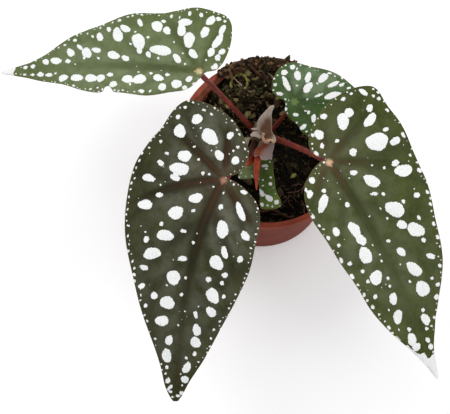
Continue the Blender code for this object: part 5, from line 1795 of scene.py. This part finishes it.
def fill_outline(blade, rim, lines, step):
    """Triangles that fill a blade's outline and follow the edges of its spots."""
    low = rim.min(axis=0)
    high = rim.max(axis=0)
    row_gap = step * sqrt(3.0) / 2.0
    lattice = np.array([
        (along, out + 0.5 * step * (row % 2))
        for row, along in enumerate(np.arange(low[0], high[0], row_gap))
        for out in np.arange(low[1], high[1], step)
    ])
    lattice = lattice[inside(lattice, rim)]
    keep = gap_to_line(lattice, rim) > 0.55 * step
    for line in lines:
        index = close_to(lattice, line, step)
        keep[index] &= gap_to_line(lattice[index], line) > 0.42 * step
    middles = np.array([line.mean(axis=0) for line in lines]).reshape(-1, 2)
    spots = np.concatenate((rim, *lines, lattice[keep], middles))
    edges = []
    count = 0
    for line in (rim, *lines):
        edges += [(count + index, count + (index + 1) % len(line)) for index in range(len(line))]
        count += len(line)
    flat = [Vector((out * blade.broad_side, along)) for along, out in spots]
    corners, _, triangles, _, _, _ = delaunay_2d_cdt(flat, edges, [], 0, 0.0005, False)
    spots = np.array([(corner.y, corner.x * blade.broad_side) for corner in corners])
    triangles = np.array([tuple(triangle) for triangle in triangles])
    middles = spots[triangles].mean(axis=1)
    triangles = triangles[inside(middles, rim)]
    used, triangles = np.unique(triangles, return_inverse=True)
    return spots[used], triangles.reshape(-1, 3)


def vein_relief(blade, rim, rim_gap, spots, shading):
    """At each spot: how much it is a vein, how far it is from one, and how much painted shade its vein trough
    gets.
    """
    vein = np.zeros(len(spots))
    trough = np.zeros(len(spots))
    vein_gap = np.full(len(spots), 1000.0)
    for line, strength in vein_lines(blade, rim):
        gap = gap_to_line(spots, line, closed=False)
        vein = np.maximum(vein, strength * bell(gap / (0.35 + 0.45 * strength)))
        vein_gap = np.minimum(vein_gap, gap)
        trough = np.maximum(trough, strength * bell(gap / (1.6 + 0.06 * rim_gap)))
    vein *= smooth_step(rim_gap / 6.0)
    trough *= smooth_step(rim_gap / 9.0)
    trough *= 1.0 - 0.75 * smooth_step(np.hypot(*spots.T) / (0.75 * blade.length))
    return vein, vein_gap, np.minimum(trough * shading, 1.0)


def make_blade(name, blade, settings):
    """One leaf blade: raised white spots, sunken veins above and ribs beneath."""
    look = LOOKS[name]
    small = blade.length < SMALL_BLADE
    rim = even_outline(blade.outline, RIM_STEP)
    lines = spot_lines(name, rim, look, random.Random(name))
    spots, triangles = fill_outline(blade, rim, lines, settings.step * (0.75 if small else 1.0))
    along, out = spots.T
    rim_gap = gap_to_line(spots, rim)
    middles = spots[triangles].mean(axis=1)
    spotted = np.zeros(len(triangles), bool)
    depth = np.full(len(spots), 3.0)
    within = np.zeros(len(spots), bool)
    for index, line in enumerate(lines):
        near = close_to(middles, line)
        spotted[near] |= inside(middles[near], line)
        near = close_to(spots, line, 3.0)
        depth[near] = np.minimum(depth[near], gap_to_runs(spots[near], *outer_runs(index, lines)))
        within[near] |= inside(spots[near], line)

    scale = 0.6 if small else 1.0
    vein, vein_gap, trough = vein_relief(blade, rim, rim_gap, spots, look.shading)
    reach = np.hypot(along, out)
    raised = cad_relief(blade, along, out, rim_gap)
    raised += scale * (0.25 * (1.0 - bell(vein_gap / 3.2)) - settings.vein_depth * vein)
    raised += 0.12 * flat_noise(spots, 0.35, 0.35, 2.0)
    raised -= 0.1 * bell(reach / 2.2)
    bump = settings.spot_rise * within * smooth_step(depth / 0.5)
    half = 0.1 + 0.2 * smooth_step(rim_gap / 2.5)
    main = bell(np.abs(out) / 0.9) * (along > -1.0) * (1.0 - smooth_step(along / blade.length))
    ribs = scale * (0.45 * main + 0.3 * vein + 0.25 * settings.vein_depth * vein)
    points, faces = bent_sheet(blade, spots, triangles, raised, half + bump, half + ribs)
    points = np.clip(points, *(np.array(corner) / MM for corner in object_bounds()))
    piece = add_object(name.replace("blade", "leaf"), points, faces, leaf_material(name, look, settings))
    store_twice(
        piece.data, vein=vein, trough=trough, rim=rim_gap, reach=reach, edge=np.where(within, depth, 0.0),
        sheen=blotches(along, out, look.painted_sheens) * (1.0 - trough),
        flat=np.column_stack((along, out, np.zeros(len(spots)))),
    )
    rest = np.zeros(len(faces) - 2 * len(triangles))
    store(piece.data, "spot", np.concatenate((spotted, spotted, rest)), "FACE")
    store(piece.data, "under", np.concatenate((
        np.zeros(len(triangles)), np.ones(len(triangles)), rest,
    )), "FACE")
    hand_over(piece, look.slot, name)


# The stage


def add_light(name, place, aim, power, colour):
    """A square soft light that looks at a point."""
    light = bpy.data.lights.new(name, "AREA")
    light.shape = "SQUARE"
    light.size = LIGHT_SIZE
    light.energy = power
    light.color = colour
    obj = new_object(name, light)
    obj.location = place
    obj.rotation_euler = (Vector(aim) - Vector(place)).to_track_quat("-Z", "Y").to_euler()


def make_stage(settings):
    """A pale floor, soft light from above and the camera of the photograph."""
    material, nodes = new_material("floor_finish")
    grain = nodes.cloud(nodes.add("ShaderNodeTexCoord").outputs["Object"], 4)
    nodes.feed(material.node_tree.nodes["Principled BSDF"], {
        "Base Color": nodes.mix(grain, (0.93, 0.93, 0.925), (0.96, 0.96, 0.955)), "Roughness": 0.85,
    })
    corners = [(x * STAGE_HALF, y * STAGE_HALF, STAGE_LEVEL) for x, y in ((-1, -1), (1, -1), (1, 1), (-1, 1))]
    add_object("studio_floor", corners, [(0, 1, 2, 3)], material)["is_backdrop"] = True
    scene = bpy.context.scene
    scene.view_settings.view_transform = "Standard"
    scene.world = bpy.data.worlds.new("studio")
    scene.world.use_nodes = True
    Wiring(scene.world.node_tree).feed(scene.world.node_tree.nodes["Background"], {
        "Color": (0.95, 0.97, 1.0), "Strength": settings.sky,
    })
    add_light("window", (-0.55, 0.75, 1.25), (0.0, -0.03, 0.1), settings.window, (1.0, 0.99, 0.97))
    add_light("front", (1.0, -0.35, 1.25), (0.0, 0.0, 0.1), settings.fill, (1.0, 0.98, 0.96))
    camera = bpy.data.cameras.new("camera")
    camera.sensor_width = 36.0
    camera.lens = settings.lens
    scene.camera = new_object("camera", camera)
    scene.camera.location = Vector(CAMERA_PLACE) * MM
    scene.camera.rotation_euler = (radians(CAMERA_TILT), 0.0, 0.0)


# Settings, operators and the panel


def number(name, description, default, **settings):
    """A number that a user can change."""
    return FloatProperty(name=name, description=description, default=default, **settings)


def whole_number(name, description, default, least):
    """A whole number that a user can change."""
    return IntProperty(name=name, description=description, default=default, min=least)


def tint(name, description, default):
    """A colour that a user can change, its first value given as seen on a screen."""
    return FloatVectorProperty(
        name=name, description=description, default=linear(*default), subtype="COLOR", size=3,
        min=0.0, max=1.0,
    )


class PotSettings(bpy.types.PropertyGroup):
    """The plastic pot."""

    sides: whole_number("Sides", "Steps round the pot", 160, 24)
    drain_count: whole_number("Drain holes", "Holes in the floor", 6, 3)
    drain_radius: number("Drain hole radius", "Radius of each drain hole", 0.0035, unit="LENGTH")
    colour: tint("Colour", "Colour of the plastic", (0.53, 0.265, 0.20))
    shade: tint("Shade", "Its darker patches", (0.44, 0.205, 0.15))
    # The scuff colour also serves as the painted light on the inner wall
    scuff_and_painted_light: tint("Scuffs", "Its pale scuffs", (0.68, 0.42, 0.34))


class SoilSettings(bpy.types.PropertyGroup):
    """The soil and what lies on it."""

    step: number("Step", "Grain of the relief in millimetres", 0.8)
    crumbs: number("Crumbs", "Crumbs on a square metre", 180000.0)


class LeafSettings(bpy.types.PropertyGroup):
    """The blades."""

    step: number("Step", "Mesh step in millimetres", 1.25)
    spot_rise: number("Spot rise", "Height of the spots in millimetres", 0.08)
    vein_depth: number("Vein depth", "Depth of the veins in millimetres", 0.2)
    grain: number("Grain", "Depth of the skin's grain in millimetres", 0.09)
    spot: tint("Spots", "Colour of the spots", (0.875, 0.88, 0.875))
    margin: tint("Margin", "Colour of the thin margin", (0.50, 0.43, 0.30))
    flush: tint("Flush", "Red tint near the stalk", (0.33, 0.19, 0.14))
    underside: tint("Underside", "Colour of the underside", (0.42, 0.11, 0.12))
    under_vein: tint("Veins beneath", "Veins on the underside", (0.58, 0.25, 0.20))


class StageSettings(bpy.types.PropertyGroup):
    """The light and the lens."""

    sky: number("Sky", "Strength of the light all round", 0.72)
    window: number("Window", "Power of the back light", 12.0, unit="POWER")
    fill: number("Fill", "Power of the front light", 9.0, unit="POWER")
    lens: number("Lens", "Focal length in millimetres", 81.6)


class BEGONIA_OT_pot(bpy.types.Operator):
    """Make the plastic pot"""

    bl_idname = "begonia.pot"
    bl_label = "Pot"

    def execute(self, context):
        make_pot(context.scene.begonia_pot)
        return {"FINISHED"}


class BEGONIA_OT_soil(bpy.types.Operator):
    """Make the soil and what lies loose on it"""

    bl_idname = "begonia.soil"
    bl_label = "Soil"

    def execute(self, context):
        points, top_faces = make_soil(context.scene.begonia_soil)
        make_litter(context.scene.begonia_soil, points, top_faces)
        make_strands()
        make_heap(context.scene.begonia_soil)
        make_slivers()
        return {"FINISHED"}


class BEGONIA_OT_stems(bpy.types.Operator):
    """Make the cane and the leaf stalks"""

    bl_idname = "begonia.stems"
    bl_label = "Cane and stalks"

    def execute(self, context):
        make_cane()
        for name, stalk in STALKS.items():
            material = finish("stalk_foot_finish" if name == "blade_front" else "stalk_finish")
            make_stalk(name.replace("blade", "petiole"), stalk, BLADES[name], material)
        return {"FINISHED"}


class BEGONIA_OT_crown(bpy.types.Operator):
    """Make the papery stipules and the red sheaths"""

    bl_idname = "begonia.crown"
    bl_label = "Crown"

    def execute(self, context):
        make_crown()
        return {"FINISHED"}


class BEGONIA_OT_leaves(bpy.types.Operator):
    """Make the leaf blades"""

    bl_idname = "begonia.leaves"
    bl_label = "Leaves"

    def execute(self, context):
        for name, blade in BLADES.items():
            make_blade(name, blade, context.scene.begonia_leaf)
        return {"FINISHED"}


class BEGONIA_OT_stage(bpy.types.Operator):
    """Make the floor, the lights and the camera"""

    bl_idname = "begonia.stage"
    bl_label = "Stage"

    def execute(self, context):
        make_stage(context.scene.begonia_stage)
        return {"FINISHED"}


class BEGONIA_PT_panel(bpy.types.Panel):
    """Lists the operators and their settings"""

    bl_label = "Begonia"
    bl_idname = "BEGONIA_PT_panel"
    bl_space_type = "VIEW_3D"
    bl_region_type = "UI"
    bl_category = "Begonia"

    def draw(self, context):
        for operator in OPERATORS:
            self.layout.operator(operator.bl_idname)
        for label in SETTINGS:
            group = getattr(context.scene, label)
            for name in type(group).__annotations__:
                self.layout.prop(group, name)


SETTINGS = {
    "begonia_pot": PotSettings,
    "begonia_soil": SoilSettings,
    "begonia_leaf": LeafSettings,
    "begonia_stage": StageSettings,
}
OPERATORS = (
    BEGONIA_OT_pot,
    BEGONIA_OT_soil,
    BEGONIA_OT_stems,
    BEGONIA_OT_crown,
    BEGONIA_OT_leaves,
    BEGONIA_OT_stage,
)
CLASSES = (*SETTINGS.values(), *OPERATORS, BEGONIA_PT_panel)


def register():
    for one in CLASSES:
        bpy.utils.register_class(one)
    for label, group in SETTINGS.items():
        setattr(bpy.types.Scene, label, PointerProperty(type=group))


def unregister():
    for label in SETTINGS:
        delattr(bpy.types.Scene, label)
    for one in reversed(CLASSES):
        bpy.utils.unregister_class(one)


def main():
    """Make every piece in order."""
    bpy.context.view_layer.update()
    register()
    bpy.ops.begonia.pot()
    bpy.ops.begonia.soil()
    bpy.ops.begonia.stems()
    bpy.ops.begonia.crown()
    bpy.ops.begonia.leaves()
    bpy.ops.begonia.stage()
    bpy.context.view_layer.update()


if __name__ == "__main__":
    main()
